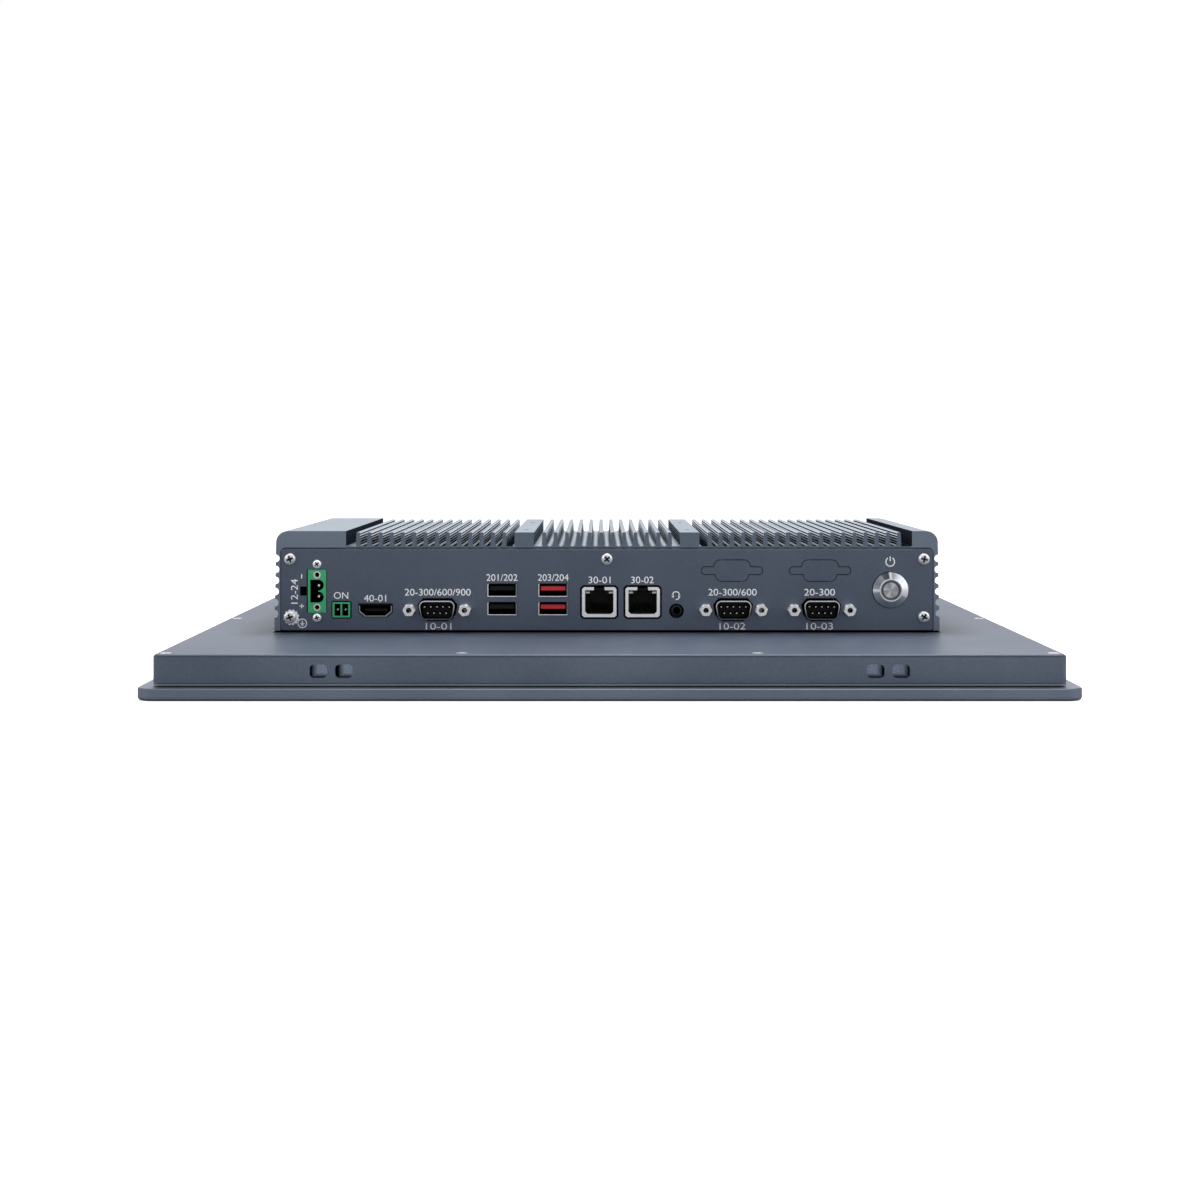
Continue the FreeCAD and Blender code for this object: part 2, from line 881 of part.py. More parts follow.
def heatsink_outer(y):
    """The outside of the extrusion: grooved sides, end blocks, ribs and saw-toothed fins."""
    grooves = [groove_first_z + groove_pitch * k for k in range(groove_count)]
    bend = box_corner_r * (1 - math.sqrt(0.5))
    outline = Outline(upright(y), bx(-side_x(0)), bz(0))

    def groove(side, z, way):
        low, high = z - way * groove_r, z + way * groove_r
        outline.line(bx(side * side_x(low)), bz(low))
        middle = (bx(side * (side_x(z) - groove_r)), bz(z))
        outline.arc(middle, (bx(side * side_x(high)), bz(high)))

    for z in grooves:
        groove(-1, z, 1)
    shoulder = box_h - box_corner_r
    outline.line(bx(-side_x(shoulder)), bz(shoulder))
    left = -side_x(shoulder)
    outline.arc((bx(left + bend), bz(box_h - bend)), (bx(left + box_corner_r), bz(box_h)))
    for n, (a, b, gap_a, gap_b, count) in enumerate(fin_sections()):
        wall_top = box_h if n == 0 else fin_top
        outline.line(bx(a), bz(wall_top))
        outline.line(bx(a), bz(fin_floor))
        centres = fin_centres(a, b, gap_a, gap_b, count)
        for k, centre in enumerate(centres):
            rise = flank(centre, -1)
            if k == 0:
                outline.line(bx(rise[0][0]), bz(fin_floor))
                outline.line(bx(rise[0][0]), bz(rise[0][1]))
            else:
                middle = ((centres[k - 1] + centre) / 2, fin_floor)
                outline.arc((bx(middle[0]), bz(middle[1])), (bx(rise[0][0]), bz(rise[0][1])))
            for u, v in rise[1:]:
                outline.line(bx(u), bz(v))
            for u, v in reversed(flank(centre, 1)):
                outline.line(bx(u), bz(v))
        last_x = centres[-1] + fin_half(fin_root)
        outline.line(bx(last_x), bz(fin_floor))
        outline.line(bx(b), bz(fin_floor))
        outline.line(bx(b), bz(box_h if n == 2 else fin_top))
    right = side_x(shoulder)
    outline.line(bx(right - box_corner_r), bz(box_h))
    outline.arc((bx(right - bend), bz(box_h - bend)), (bx(right), bz(shoulder)))
    for z in reversed(grooves):
        groove(1, z, -1)
    outline.line(bx(side_x(0)), bz(0))
    return outline.face()


def heatsink_inner():
    """The hollow inside, with a foot and a screw port along each wall and one under the deck."""
    half = [
        (half_in + base_play + base_lap, -1.0),
        (half_in + base_play + base_lap, base_rise),
        (half_in - foot_w, base_rise),
        (half_in - foot_w, foot_top),
        (half_in, foot_top),
        (half_in, deck_z - port_h),
        (half_in - port_w, deck_z - port_h),
        (half_in - port_w, deck_z),
        (centre_port_w, deck_z),
        (centre_port_w, deck_z - port_h),
    ]
    mirrored = [(-x, z) for x, z in reversed(half)]
    corners = [(bx(x), bz(z)) for x, z in half + mirrored]
    return bar(shell_front_y - 1, shell_back_y + 1, corners)


def plate_screw_places():
    """Places of the screws on an end plate, without the lower left one."""
    return [
        (plate_screw_x, plate_screw_low),
        (plate_screw_x, plate_screw_high),
        (-plate_screw_x, plate_screw_high),
        (0.0, plate_screw_high),
    ]


def base_screw_places():
    return [
        (bx(sx * base_screw_x), box_mid_y + k * base_screw_y) for sx in (-1, 1) for k in (-1, 0, 1)
    ]


def heatsink_cover():
    body = heatsink_outer(shell_front_y).extrude(V(0, shell_back_y - shell_front_y, 0))
    cutters = [heatsink_inner()]
    thread = screw_grip + bore_beyond
    ends = plate_screw_places() + [(-plate_screw_x, ground_low)]
    back_ends = plate_screw_places() + [(-plate_screw_x, plate_screw_low)]
    for x, z in ends:
        at = V(bx(x), shell_front_y - 1, bz(z))
        cutters.append(rod(m3[2] + thread_play, at, thread + 1, V(0, 1, 0)))
    for x, z in back_ends:
        at = V(bx(x), shell_back_y + 1, bz(z))
        cutters.append(rod(m3[2] + thread_play, at, thread + 1, V(0, -1, 0)))
    for x, y in base_screw_places():
        at = V(x, y, bz(base_rise) - 1)
        cutters.append(rod(m3_sunk[2] + thread_play, at, base_port_top - base_rise + 1, V(0, 0, 1)))
    for sx in (-1, 1):
        for sy in (-1, 1):
            at = V(bx(sx * arm_pitch / 2), arm_mid_y + sy * arm_pitch / 2, bz(fin_top) + 1)
            cutters.append(rod(arm_hole_r, at, arm_hole_depth + 1, V(0, 0, -1)))
    save("heatsink_cover", body.cut(cutters))


def base_plate():
    """The sheet under the box, with pressed studs for the board and nuts for the panel screws."""
    z0 = cover_top_z
    z1 = z0 + base_t
    half = half_in + base_lap
    y0 = shell_front_y + base_end_play
    y1 = shell_back_y - base_end_play
    pieces = [block(bx(-half), bx(half), y0, y1, z0, z1)]
    stud_top = bz(board_top - board_t)
    for x in stud_x:
        for y in stud_y:
            pieces.append(rod(stud_r, V(bx(x), y, z1), stud_top - z1, V(0, 0, 1)))
    for x, y in hold_screw_places():
        pieces.append(rod(hold_boss_r, V(x, y, z1), hold_boss_h, V(0, 0, 1)))
    cutters = [cable_pass(z0 - 1, z1 + 1)]
    for x, y in hold_screw_places():
        cutters.append(rod(m4[2] + thread_play, V(x, y, z0 - 1), base_t + hold_boss_h + 2, V(0, 0, 1)))
    for x, y in base_screw_places():
        cutters.append(sunk_hole(m3_sunk, V(x, y, z0), V(0, 0, -1), base_t + 1))
    for x in stud_x:
        for y in stud_y:
            cutters.append(rod(m3_low[2] + thread_play, V(bx(x), y, z0 - 1), stud_top - z0 + 2, V(0, 0, 1)))
    save("base_plate", fuse(pieces).cut(cutters))
    length = bz(base_port_top) - z0 - tip_room
    screws = [sunk_screw(m3_sunk, V(x, y, z0), V(0, 0, -1), length) for x, y in base_screw_places()]
    save("base_plate_screws", *screws)
    reach = cover_t + base_t + hold_boss_h - tip_room
    holds = [
        pan_screw(m4, V(x, y, cover_ceiling_z), V(0, 0, -1), reach) for x, y in hold_screw_places()
    ]
    save("box_mounting_screws", *holds)


def end_plate(y0, front):
    """A closing plate with rounded corners; front is -1 or 1, the side that faces out."""
    corners = rectangle(bx(0), bz(plate_h / 2), plate_w, plate_h)
    radii = [plate_foot_r, plate_foot_r, plate_corner_r, plate_corner_r]
    plate = bar(y0, y0 + plate_t, corners, radii)
    face_y = y0 if front < 0 else y0 + plate_t
    rim = [
        e
        for e in plate.Edges
        if abs(e.BoundBox.YMin - face_y) < 1e-6 and abs(e.BoundBox.YMax - face_y) < 1e-6
    ]
    plate = plate.makeFillet(plate_edge_r, rim)
    holes = [
        rod(m3[2] + hole_play, V(bx(x), y0 - 1, bz(z)), plate_t + 2, V(0, 1, 0))
        for x, z in plate_screw_places()
    ]
    return plate.cut(holes)


def through_plate(corners, radius):
    """A cutter through the connector plate."""
    return bar(box_front_y - 1, shell_front_y + 1, corners, radius)


def knockout(cx):
    """The thin cut round a spare serial port's blank, broken by two webs that hold it."""

    def blank(inset):
        w = knockout_w - 2 * inset
        h = knockout_h - 2 * inset
        d = through_plate(d_corners(bx(cx), bz(knockout_z), w, h), knockout_r - inset)
        ear_h = knockout_ear_h - 2 * inset
        ear_r = ear_h / 2 - 0.01
        ear = rectangle(bx(cx), bz(knockout_z), knockout_ear_w - 2 * inset, ear_h)
        return d.fuse(through_plate(ear, ear_r))

    ring = blank(0.0).cut(blank(knockout_cut))
    webs = []
    for sign in (-1, 1):
        x = bx(cx + sign * knockout_w / 4)
        z0 = bz(knockout_z - sign * knockout_h / 2)
        half = knockout_web / 2
        webs.append(block(x - half, x + half, box_front_y - 2, shell_front_y + 2, z0 - 1, z0 + 1))
    return ring.cut(webs)


def io_plate():
    plate = end_plate(box_front_y, -1)
    cut = 2 * cut_play
    inlet_cut_w = inlet_w + 2 * inlet_play + inlet_slip
    inlet_cut_x = bx(inlet_x) - inlet_slip / 2
    notch_x = bx(inlet_x - inlet_w / 2 - inlet_notch_w / 2)
    cutters = [
        through_plate(rectangle(inlet_cut_x, bz(inlet_z), inlet_cut_w, inlet_h + 2 * inlet_play), 0.3),
        through_plate(rectangle(notch_x, bz(inlet_z), inlet_notch_w, inlet_notch_h), 0.3),
        through_plate(rectangle(bx(switch_x), bz(switch_z), switch_w + cut, switch_h + cut), 0.5),
        through_plate(video_corners(cut_play), 0.4),
    ]
    for sign in (-1, 1):
        at = V(bx(inlet_x), box_front_y - 1, bz(inlet_z + sign * inlet_screw_pitch / 2))
        cutters.append(rod(m3_small[2] + hole_play, at, plate_t + 2, V(0, 1, 0)))
    for x in serial_x:
        mouth = d_corners(bx(x), bz(serial_z), shell_w + cut, shell_h + cut)
        cutters.append(through_plate(mouth, shell_r))
        for sign in (-1, 1):
            at = V(bx(x + sign * jack_pitch / 2), box_front_y - 1, bz(serial_z))
            cutters.append(rod(hex_stud_r + hole_play, at, plate_t + 2, V(0, 1, 0)))
    cutters += [knockout(x) for x in knockout_x]
    for x in data_x:
        for z in data_z:
            mouth = rectangle(bx(x), bz(z), data_w + cut_play, data_h + cut_play)
            cutters.append(through_plate(mouth, 0.3))
    for x in lan_x:
        w, h = lan_w + 2 * lan_cut_play, lan_h + 2 * lan_cut_play
        cutters.append(through_plate(rectangle(bx(x), bz(lan_z), w, h), lan_cut_r))
    bores = [
        (audio_x, audio_z, audio_cut_r),
        (button_x, button_z, button_barrel_r + hole_play),
        (-plate_screw_x, ground_low, m3[2] + hole_play),
    ]
    for x, z, radius in bores:
        cutters.append(rod(radius, V(bx(x), box_front_y - 1, bz(z)), plate_t + 2, V(0, 1, 0)))
    save("io_plate", plate.cut(cutters))
    screws = [
        pan_screw(m3, V(bx(x), box_front_y, bz(z)), V(0, -1, 0), plate_t + screw_grip)
        for x, z in plate_screw_places()
    ]
    save("io_plate_screws", *screws)


def ground_screw():
    """Protective earth: a pan-head screw over an externally toothed washer, slipped to one side."""
    x, z = bx(-plate_screw_x), bz(ground_low)
    seat = box_front_y - washer_t
    length = washer_t + plate_t + screw_grip
    save("ground_screw", pan_screw(m3_low, V(x, seat, z), V(0, -1, 0), length))
    cx = x + washer_slip
    corners = []
    for k in range(washer_teeth):
        for part, rise in ((0.0, 0.0), (0.3, washer_tooth), (0.62, washer_tooth)):
            radius = washer_r + rise
            angle = 2 * math.pi * (k + part) / washer_teeth
            corners.append((cx + radius * math.cos(angle), z + radius * math.sin(angle)))
    washer = bar(seat, box_front_y, corners)
    save("ground_washer", washer.cut(rod(washer_hole_r, V(cx, seat - 1, z), washer_t + 2, V(0, 1, 0))))


def rear_end_plate():
    y0 = shell_back_y
    corner = (-plate_screw_x, plate_screw_low)
    hole = rod(m3[2] + hole_play, V(bx(corner[0]), y0 - 1, bz(corner[1])), plate_t + 2, V(0, 1, 0))
    save("rear_end_plate", end_plate(y0, 1).cut(hole))
    screws = [
        pan_screw(m3, V(bx(x), box_back_y, bz(z)), V(0, 1, 0), plate_t + screw_grip)
        for x, z in plate_screw_places() + [corner]
    ]
    save("rear_end_plate_screws", *screws)


def supply_inlet():
    """Upright supply inlet: a green housing with a stepped cavity, held behind the plate by a bracket."""
    x, z = bx(inlet_x), bz(inlet_z)
    mouth = box_front_y - proud
    behind = shell_front_y + bracket_t
    housing = bar(mouth, behind, rectangle(x, z, inlet_w, inlet_h))
    shoulder_w = inlet_w + 2 * inlet_shoulder
    shoulder_h = inlet_h + 2 * inlet_shoulder
    rear = bar(behind, mouth + inlet_depth, rectangle(x, z, shoulder_w, shoulder_h))
    left = x - inlet_cavity_w / 2
    deep = mouth + inlet_cavity_depth
    flat_right = x + inlet_cavity_w / 2 - inlet_lobe_r
    mid_x = (left + flat_right) / 2
    cutters = [bar(mouth - 1, deep, rectangle(mid_x, z, flat_right - left, inlet_cavity_h))]
    lobe_z = inlet_cavity_h / 2 - inlet_lobe_r
    pins = []
    nuts = []
    for sign in (-1, 1):
        at = V(flat_right, mouth - 1, z + sign * lobe_z)
        cutters.append(rod(inlet_lobe_r, at, inlet_cavity_depth + 1, V(0, 1, 0)))
        at = V(x + inlet_pin_x, deep - inlet_pin_l, z + sign * inlet_pin_pitch / 2)
        pins.append(rod(inlet_pin_r, at, inlet_pin_l, V(0, 1, 0)))
        at = V(x, mouth, z + sign * inlet_nut_pitch / 2)
        cutters.append(rod(inlet_nut_r + thread_play, at - V(0, 1, 0), inlet_nut_l + 1, V(0, 1, 0)))
        nut = rod(inlet_nut_r, at, inlet_nut_l, V(0, 1, 0))
        nuts.append(nut.cut(rod(inlet_nut_hole_r, at - V(0, 1, 0), inlet_nut_l + 2, V(0, 1, 0))))
    save("supply_inlet_housing", fuse([housing, rear]).cut(cutters))
    save("supply_inlet_pins", *pins)
    save("supply_inlet_nuts", *nuts)
    bracket_w = shoulder_w
    bracket_h = inlet_screw_pitch + 2 * (m3_small[0] + bracket_margin)
    bracket = bar(shell_front_y, behind, rectangle(x, z, bracket_w, bracket_h), 1.0)
    hole = rectangle(x, z, inlet_w + 2 * inlet_play, inlet_h + 2 * inlet_play)
    window = bar(shell_front_y - 1, behind + 1, hole)
    holes = []
    screws = []
    for sign in (-1, 1):
        at = V(x, box_front_y, z + sign * inlet_screw_pitch / 2)
        holes.append(rod(m3_small[2] + thread_play, at, plate_t + bracket_t + 1, V(0, 1, 0)))
        screws.append(pan_screw(m3_small, at, V(0, -1, 0), plate_t + bracket_t))
    save("supply_inlet_bracket", bracket.cut([window] + holes))
    save("supply_inlet_screws", *screws)


def switch_terminal():
    """Two-way plug-in terminal for a remote switch, standing on the board's edge."""
    x, z = bx(switch_x), bz(switch_z)
    mouth = box_front_y - proud
    front = bar(mouth, board_y0, rectangle(x, z, switch_w, switch_h))
    rear_z0 = bz(board_top)
    rear_z1 = z + switch_h / 2
    rear = block(x - switch_w / 2, x + switch_w / 2, board_y0, mouth + switch_depth, rear_z0, rear_z1)
    cutters = []
    pins = []
    for sign in (-1, 1):
        cx = x + sign * switch_pitch / 2
        cell = rectangle(cx, z, switch_cell_w, switch_cell_h)
        cutters.append(bar(mouth - 1, mouth + switch_cell_depth, cell, 0.3))
        start = V(cx, mouth + switch_cell_depth - switch_pin_l, z)
        pins.append(rod(switch_pin_r, start, switch_pin_l, V(0, 1, 0)))
    save("switch_terminal_housing", fuse([front, rear]).cut(cutters))
    save("switch_terminal_pins", *pins)


def video_corners(grow):
    """The six corners of the video port's mouth, with its two lower corners cut off."""
    x, z = bx(video_x), bz(video_z)
    w = video_w / 2 + grow
    h = video_h / 2 + grow
    foot = w - video_chamfer_w
    side = z - h + video_chamfer_h
    lower = [(x - w, side), (x - foot, z - h), (x + foot, z - h), (x + w, side)]
    return lower + [(x + w, z + h), (x - w, z + h)]


def video_port():
    mouth = box_front_y - proud
    back = mouth + video_depth
    body = bar(mouth, back, video_corners(0.0), 0.4)
    feet = block(
        bx(video_x) - video_w / 4,
        bx(video_x) + video_w / 4,
        board_y0,
        back,
        bz(board_top),
        bz(video_z),
    )
    inside = bar(mouth - 1, back - video_wall, video_corners(-video_wall), 0.3)
    save("video_port_shell", fuse([body, feet]).cut(inside))
    tongue = rectangle(bx(video_x), bz(video_z), video_tongue_w, video_tongue_h)
    end = back - video_wall
    save("video_port_tongue", bar(end - video_tongue_l, end, tongue))


def serial_ports():
    """Three plugs with pins: shell and flange, black insulator, nine pins, hex standoffs beside them."""
    standoffs = []
    for number, sx in enumerate(serial_x, 1):
        x, z = bx(sx), bz(serial_z)
        y0 = box_front_y - shell_out
        flange_y = shell_front_y + serial_flange_t
        tube = bar(y0, flange_y, d_corners(x, z, shell_w, shell_h), shell_r)
        plate = bar(
            shell_front_y, flange_y, rectangle(x, z, serial_flange_w, serial_flange_h), serial_flange_r
        )
        inner = d_corners(x, z, shell_w - 2 * shell_wall, shell_h - 2 * shell_wall)
        bore = bar(y0 - 1, flange_y + 1, inner, shell_r - shell_wall)
        holes = [
            rod(hex_stud_r + thread_play, V(x + s * jack_pitch / 2, shell_front_y - 1, z), 3, V(0, 1, 0))
            for s in (-1, 1)
        ]
        save(f"serial_port_{number}_shell", fuse([tube, plate]).cut([bore] + holes))
        face_y = shell_front_y
        core_w = shell_w - 2 * shell_wall - 0.1
        core_h = shell_h - 2 * shell_wall - 0.1
        core = bar(face_y, flange_y, d_corners(x, z, core_w, core_h), shell_r - shell_wall)
        half = shell_w / 2 + serial_body_lip
        rear = block(
            x - half, x + half, flange_y, flange_y + serial_body_depth, bz(board_top), z + shell_h / 2
        )
        front = block(
            x - half, x + half, flange_y, board_y0, z - shell_h / 2, z + shell_h / 2
        )
        save(f"serial_port_{number}_insulator", fuse([core, rear, front]))
        pins = []
        for row, count in ((1, 5), (-1, 4)):
            for k in range(count):
                px = x + (k - (count - 1) / 2) * pin_pitch
                start = V(px, y0 + pin_recess, z + row * pin_row / 2)
                pins.append(rod(pin_r, start, face_y - y0 - pin_recess, V(0, 1, 0)))
        save(f"serial_port_{number}_pins", *pins)
        for s in (-1, 1):
            cx = x + s * jack_pitch / 2
            turn = hex_turns[s > 0]
            body = hexagon(upright(box_front_y - hex_l), cx, z, hex_flats, turn).extrude(V(0, hex_l, 0))
            length = plate_t + serial_flange_t + hex_stud_beyond
            stud = rod(hex_stud_r, V(cx, box_front_y, z), length, V(0, 1, 0))
            hole = rod(hex_hole_r, V(cx, box_front_y - hex_l - 1, z), hex_l, V(0, 1, 0))
            standoffs.append(fuse([body, stud]).cut(hole))
    save("serial_hex_standoffs", *standoffs)


def data_ports():
    """Two stacked pairs of data ports; each pair is one folded shell with two mouths."""
    mouth = box_front_y - proud
    for name, sx in zip(("black", "red"), data_x):
        x = bx(sx)
        top = bz(max(data_z)) + data_h / 2 + data_roof
        low = bz(min(data_z)) - data_h / 2
        half = data_body_w / 2
        pieces = [
            block(x - half, x + half, shell_front_y, mouth + data_body_depth, low, top),
            block(x - half, x + half, board_y0, mouth + data_body_depth, bz(board_top), low + 1),
        ]
        cutters = []
        tongues = []
        for sz in data_z:
            z = bz(sz)
            pieces.append(bar(mouth, shell_front_y + 1, rectangle(x, z, data_w, data_h), 0.3))
            inner = rectangle(x, z, data_w - 2 * data_wall, data_h - 2 * data_wall)
            cutters.append(bar(mouth - 1, mouth + data_depth, inner))
            tongue = rectangle(x, z + tongue_rise, tongue_w, tongue_h)
            tongues.append(bar(mouth + tongue_sunk, mouth + data_depth, tongue))
        save(f"{name}_data_port_shell", fuse(pieces).cut(cutters))
        save(f"{name}_data_port_tongues", *tongues)


def contact(x0, y0, y1, z0):
    """One springy contact: a thin strip rising from the cavity's floor to its end wall."""
    z1 = z0 + lan_contact_rise
    points = [(y0, z0), (y0 + 3 * lan_contact_w, z0), (y1, z1), (y1, z1 + lan_contact_w)]
    corners = [V(x0, y, z) for y, z in points]
    face = Part.Face(Part.makePolygon(corners + corners[:1]))
    return face.extrude(V(lan_contact_w, 0, 0))


def network_ports():
    """Two network ports: a tin shield with a folded lip, a black insert, contacts and light windows."""
    mouth = box_front_y - proud
    back = mouth + lan_depth
    lights = []
    contacts = []
    for number, sx in enumerate(lan_x, 1):
        x, z = bx(sx), bz(lan_z)
        w, h = lan_w / 2, lan_h / 2
        lip, skin, c = lan_lip, lan_skin, lan_chamfer
        outer = bar(mouth, back, rectangle(x, z, lan_w, lan_h), lan_skin)
        inner = bar(mouth + skin, back - skin, rectangle(x, z, lan_w - 2 * skin, lan_h - 2 * skin))
        lw, lh = w - lip, h - lip
        opening = bar(
            mouth - 1,
            mouth + 2 * skin,
            [
                (x - lw + c, z - lh),
                (x + lw - c, z - lh),
                (x + lw, z - lh + c),
                (x + lw, z + lh),
                (x - lw, z + lh),
                (x - lw, z - lh + c),
            ],
        )
        half = lan_notch_w / 2
        notch = block(x - half, x + half, mouth - 1, mouth + 2 * skin, z + lh - 1, z + h - skin)
        feet = [
            bar(board_y0, back, rectangle(x + s * (w - lan_foot_in), z - h + skin / 2, lan_foot_t, skin))
            for s in (-1, 1)
        ]
        save(f"network_port_{number}_shield", fuse([outer] + feet).cut([inner, opening, notch]))
        iw, ih = lan_w - 2 * skin - 0.1, lan_h - 2 * skin - 0.1
        front = mouth + skin
        body = bar(front, back - skin, rectangle(x, z, iw, ih))
        low, high = z - lan_cavity_low, z + lan_cavity_high
        half = lan_cavity_w / 2
        deep = front + lan_cavity_depth
        cutters = [block(x - half, x + half, front - 1, deep, low, high)]
        half = lan_latch_w / 2
        cutters.append(block(x - half, x + half, front - 1, deep, high - 1, high + lan_latch_h))
        light_z = z + ih / 2 - lan_light_in - lan_light_h / 2
        for s in (-1, 1):
            cx = x + s * (iw / 2 - lan_light_in - lan_light_w / 2)
            corners = rectangle(cx, light_z, lan_light_w, lan_light_h)
            cutters.append(bar(front - 1, front + lan_light_l, corners))
            lights.append(bar(front + lan_light_sunk, front + lan_light_l, corners))
        save(f"network_port_{number}_insert", body.cut(cutters))
        for k in range(lan_contact_count):
            cx = x + (k - (lan_contact_count - 1) / 2) * lan_contact_pitch
            contacts.append(contact(cx - lan_contact_w / 2, front + lan_contact_in, deep, low))
    save("network_port_contacts", *contacts)
    save("network_port_lights", *lights)


def audio_jack():
    x, z = bx(audio_x), bz(audio_z)
    mouth = box_front_y - proud
    nose = rod(audio_nose_r, V(x, mouth, z), board_y0 - mouth, V(0, 1, 0))
    half = audio_body_w / 2
    body = block(x - half, x + half, board_y0, mouth + audio_body_l, bz(board_top), z + half)
    hole = rod(audio_hole_r, V(x, mouth - 1, z), audio_hole_l + 1, V(0, 1, 0))
    save("audio_jack", fuse([nose, body]).cut(hole))


def power_button():
    """Metal push button: body with a coned flange, a light ring, and the cap that travels in it."""
    x, z = bx(button_x), bz(button_z)
    out = V(0, -1, 0)
    at = V(x, box_front_y, z)
    top = button_flange_t + button_cone_h
    bore_r = button_rim_r - button_rim_w
    cap_y = top - button_cap_sunk
    bore_h = cap_y - button_cap_l - button_stem_l - button_travel - tip_room
    body = [
        (0, -button_barrel_l),
        (button_barrel_r, -button_barrel_l),
        (button_barrel_r, 0),
        (button_flange_r, 0),
        (button_flange_r, button_flange_t),
        (button_rim_r, top),
        (bore_r, top),
        (bore_r, bore_h),
        (0, bore_h),
    ]
    shell = turned(body, at, out)
    blades = []
    for s in (-1, 1):
        cx = x + s * button_barrel_r / 2
        y0 = box_front_y + button_barrel_l
        section = rectangle(cx, z, button_blade_t, button_blade_w)
        blades.append(bar(y0 - 1, y0 + button_blade_l, section))
    save("power_button_body", fuse([shell] + blades))
    ring_top = top - button_ring_sunk
    ring_low = ring_top - button_ring_l
    outer = bore_r - thread_play
    ring = [
        (button_ring_r, ring_low),
        (outer, ring_low),
        (outer, ring_top),
        (button_ring_r, ring_top),
    ]
    save("power_button_ring", turned(ring, at, out))
    cap = [
        (0, cap_y - button_cap_l - button_stem_l),
        (button_stem_r, cap_y - button_cap_l - button_stem_l),
        (button_stem_r, cap_y - button_cap_l),
        (button_cap_r, cap_y - button_cap_l),
        (button_cap_r, cap_y - button_cap_bevel),
        (button_cap_r - button_cap_bevel, cap_y),
        (0, cap_y),
    ]
    save("power_button_cap", turned(cap, at, out))
    nut = hexagon(upright(shell_front_y), x, z, button_nut_flats, 0).extrude(V(0, button_nut_t, 0))
    hole = rod(button_barrel_r + thread_play, V(x, shell_front_y - 1, z), button_nut_t + 2, V(0, 1, 0))
    save("power_button_nut", nut.cut(hole))


def chip(x, y, z, w, d, h):
    """A flat package on a board, about its middle."""
    return block(x - w / 2, x + w / 2, y - d / 2, y + d / 2, z, z + h)


def mainboard():
    """The board, with the parts soldered to it: processor, module sockets, coils and capacitors."""
    z0, z1 = bz(board_top - board_t), bz(board_top)
    pieces = [block(bx(board_x0), bx(board_x1), board_y0, board_y1, z0, z1)]
    cx, cy = bx(spreader_x), spreader_y
    pieces.append(chip(cx, cy, z1, chip_size, chip_size, chip_h))
    mx = bx(memory_x)
    m0, m1 = mx - memory_w / 2, mx + memory_w / 2
    pieces.append(block(m0, m1, memory_y - socket_t, memory_y, z1, z1 + memory_lift + socket_rise))
    for px in (m0 + module_post_in, m1 - module_post_in):
        post = V(px, memory_y + memory_d - module_post_in, z1)
        pieces.append(rod(module_post_r, post, memory_lift, V(0, 0, 1)))
    sx = bx(storage_x)
    socket_top = z1 + storage_lift + socket_rise
    pieces.append(block(sx - socket_t, sx, storage_y, storage_y + storage_d, z1, socket_top))
    post = V(sx + storage_w - module_post_in, storage_y + storage_d / 2, z1)
    pieces.append(rod(module_post_r, post, storage_lift, V(0, 0, 1)))
    for k in range(3):
        x = bx(coil_x) + (k - 1) * part_pitch
        pieces.append(chip(x, coil_y, z1, coil_size, coil_size, coil_h))
        x = bx(capacitor_x) + k * part_pitch
        pieces.append(rod(capacitor_r, V(x, capacitor_y, z1), capacitor_h, V(0, 0, 1)))
    holes = [
        rod(m3_low[2] + hole_play, V(bx(x), y, z0 - 1), board_t + 2, V(0, 0, 1))
        for x in stud_x
        for y in stud_y
    ]
    save("mainboard", fuse(pieces).cut(holes))
    screws = [
        pan_screw(m3_low, V(bx(x), y, z1), V(0, 0, 1), z1 - cover_top_z - tip_room)
        for x in stud_x
        for y in stud_y
    ]
    save("board_screws", *screws)
    spreader_h = deck_z - board_top - chip_h
    save("heat_spreader", chip(cx, cy, z1 + chip_h, spreader_size, spreader_size, spreader_h))
    z = z1 + memory_lift
    pieces = [block(m0, m1, memory_y, memory_y + memory_d, z, z + memory_t)]
    for k in range(memory_chips):
        chip_x = m0 + (k + 0.5) * memory_w / memory_chips
        chip_y = memory_y + memory_d / 2
        pieces.append(chip(chip_x, chip_y, z + memory_t, memory_chip_w, memory_chip_d, memory_chip_h))
    save("memory_module", fuse(pieces))
    z = z1 + storage_lift
    pieces = [block(sx, sx + storage_w, storage_y, storage_y + storage_d, z, z + storage_t)]
    for k in range(storage_chips):
        chip_x = sx + storage_w / 2 + (k - (storage_chips - 1) / 2) * storage_chip_pitch
        chip_y = storage_y + storage_d / 2
        pieces.append(chip(chip_x, chip_y, z + storage_t, storage_chip, storage_chip, storage_chip_h))
    save("storage_module", fuse(pieces))


def main():
    os.makedirs("parts", exist_ok=True)
    front_bezel()
    glass_and_tape()
    lcd_module()
    lcd_clips()
    frame_and_gasket()
    frame_screws()
    rear_cover()
    cover_fixings()
    heatsink_cover()
    base_plate()
    io_plate()
    ground_screw()
    rear_end_plate()
    supply_inlet()
    switch_terminal()
    video_port()
    serial_ports()
    data_ports()
    network_ports()
    audio_jack()
    power_button()
    mainboard()


main()
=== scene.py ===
# %% [markdown]
# # A fanless panel computer, seen on its connector side
# The solids already have their true shape and place. What is missing is how they look: anodised aluminium,
# powder coat, plated screws, moulded plastic, printed signs. This lesson adds those, one finish at a time.

# %% Load the solids
import math

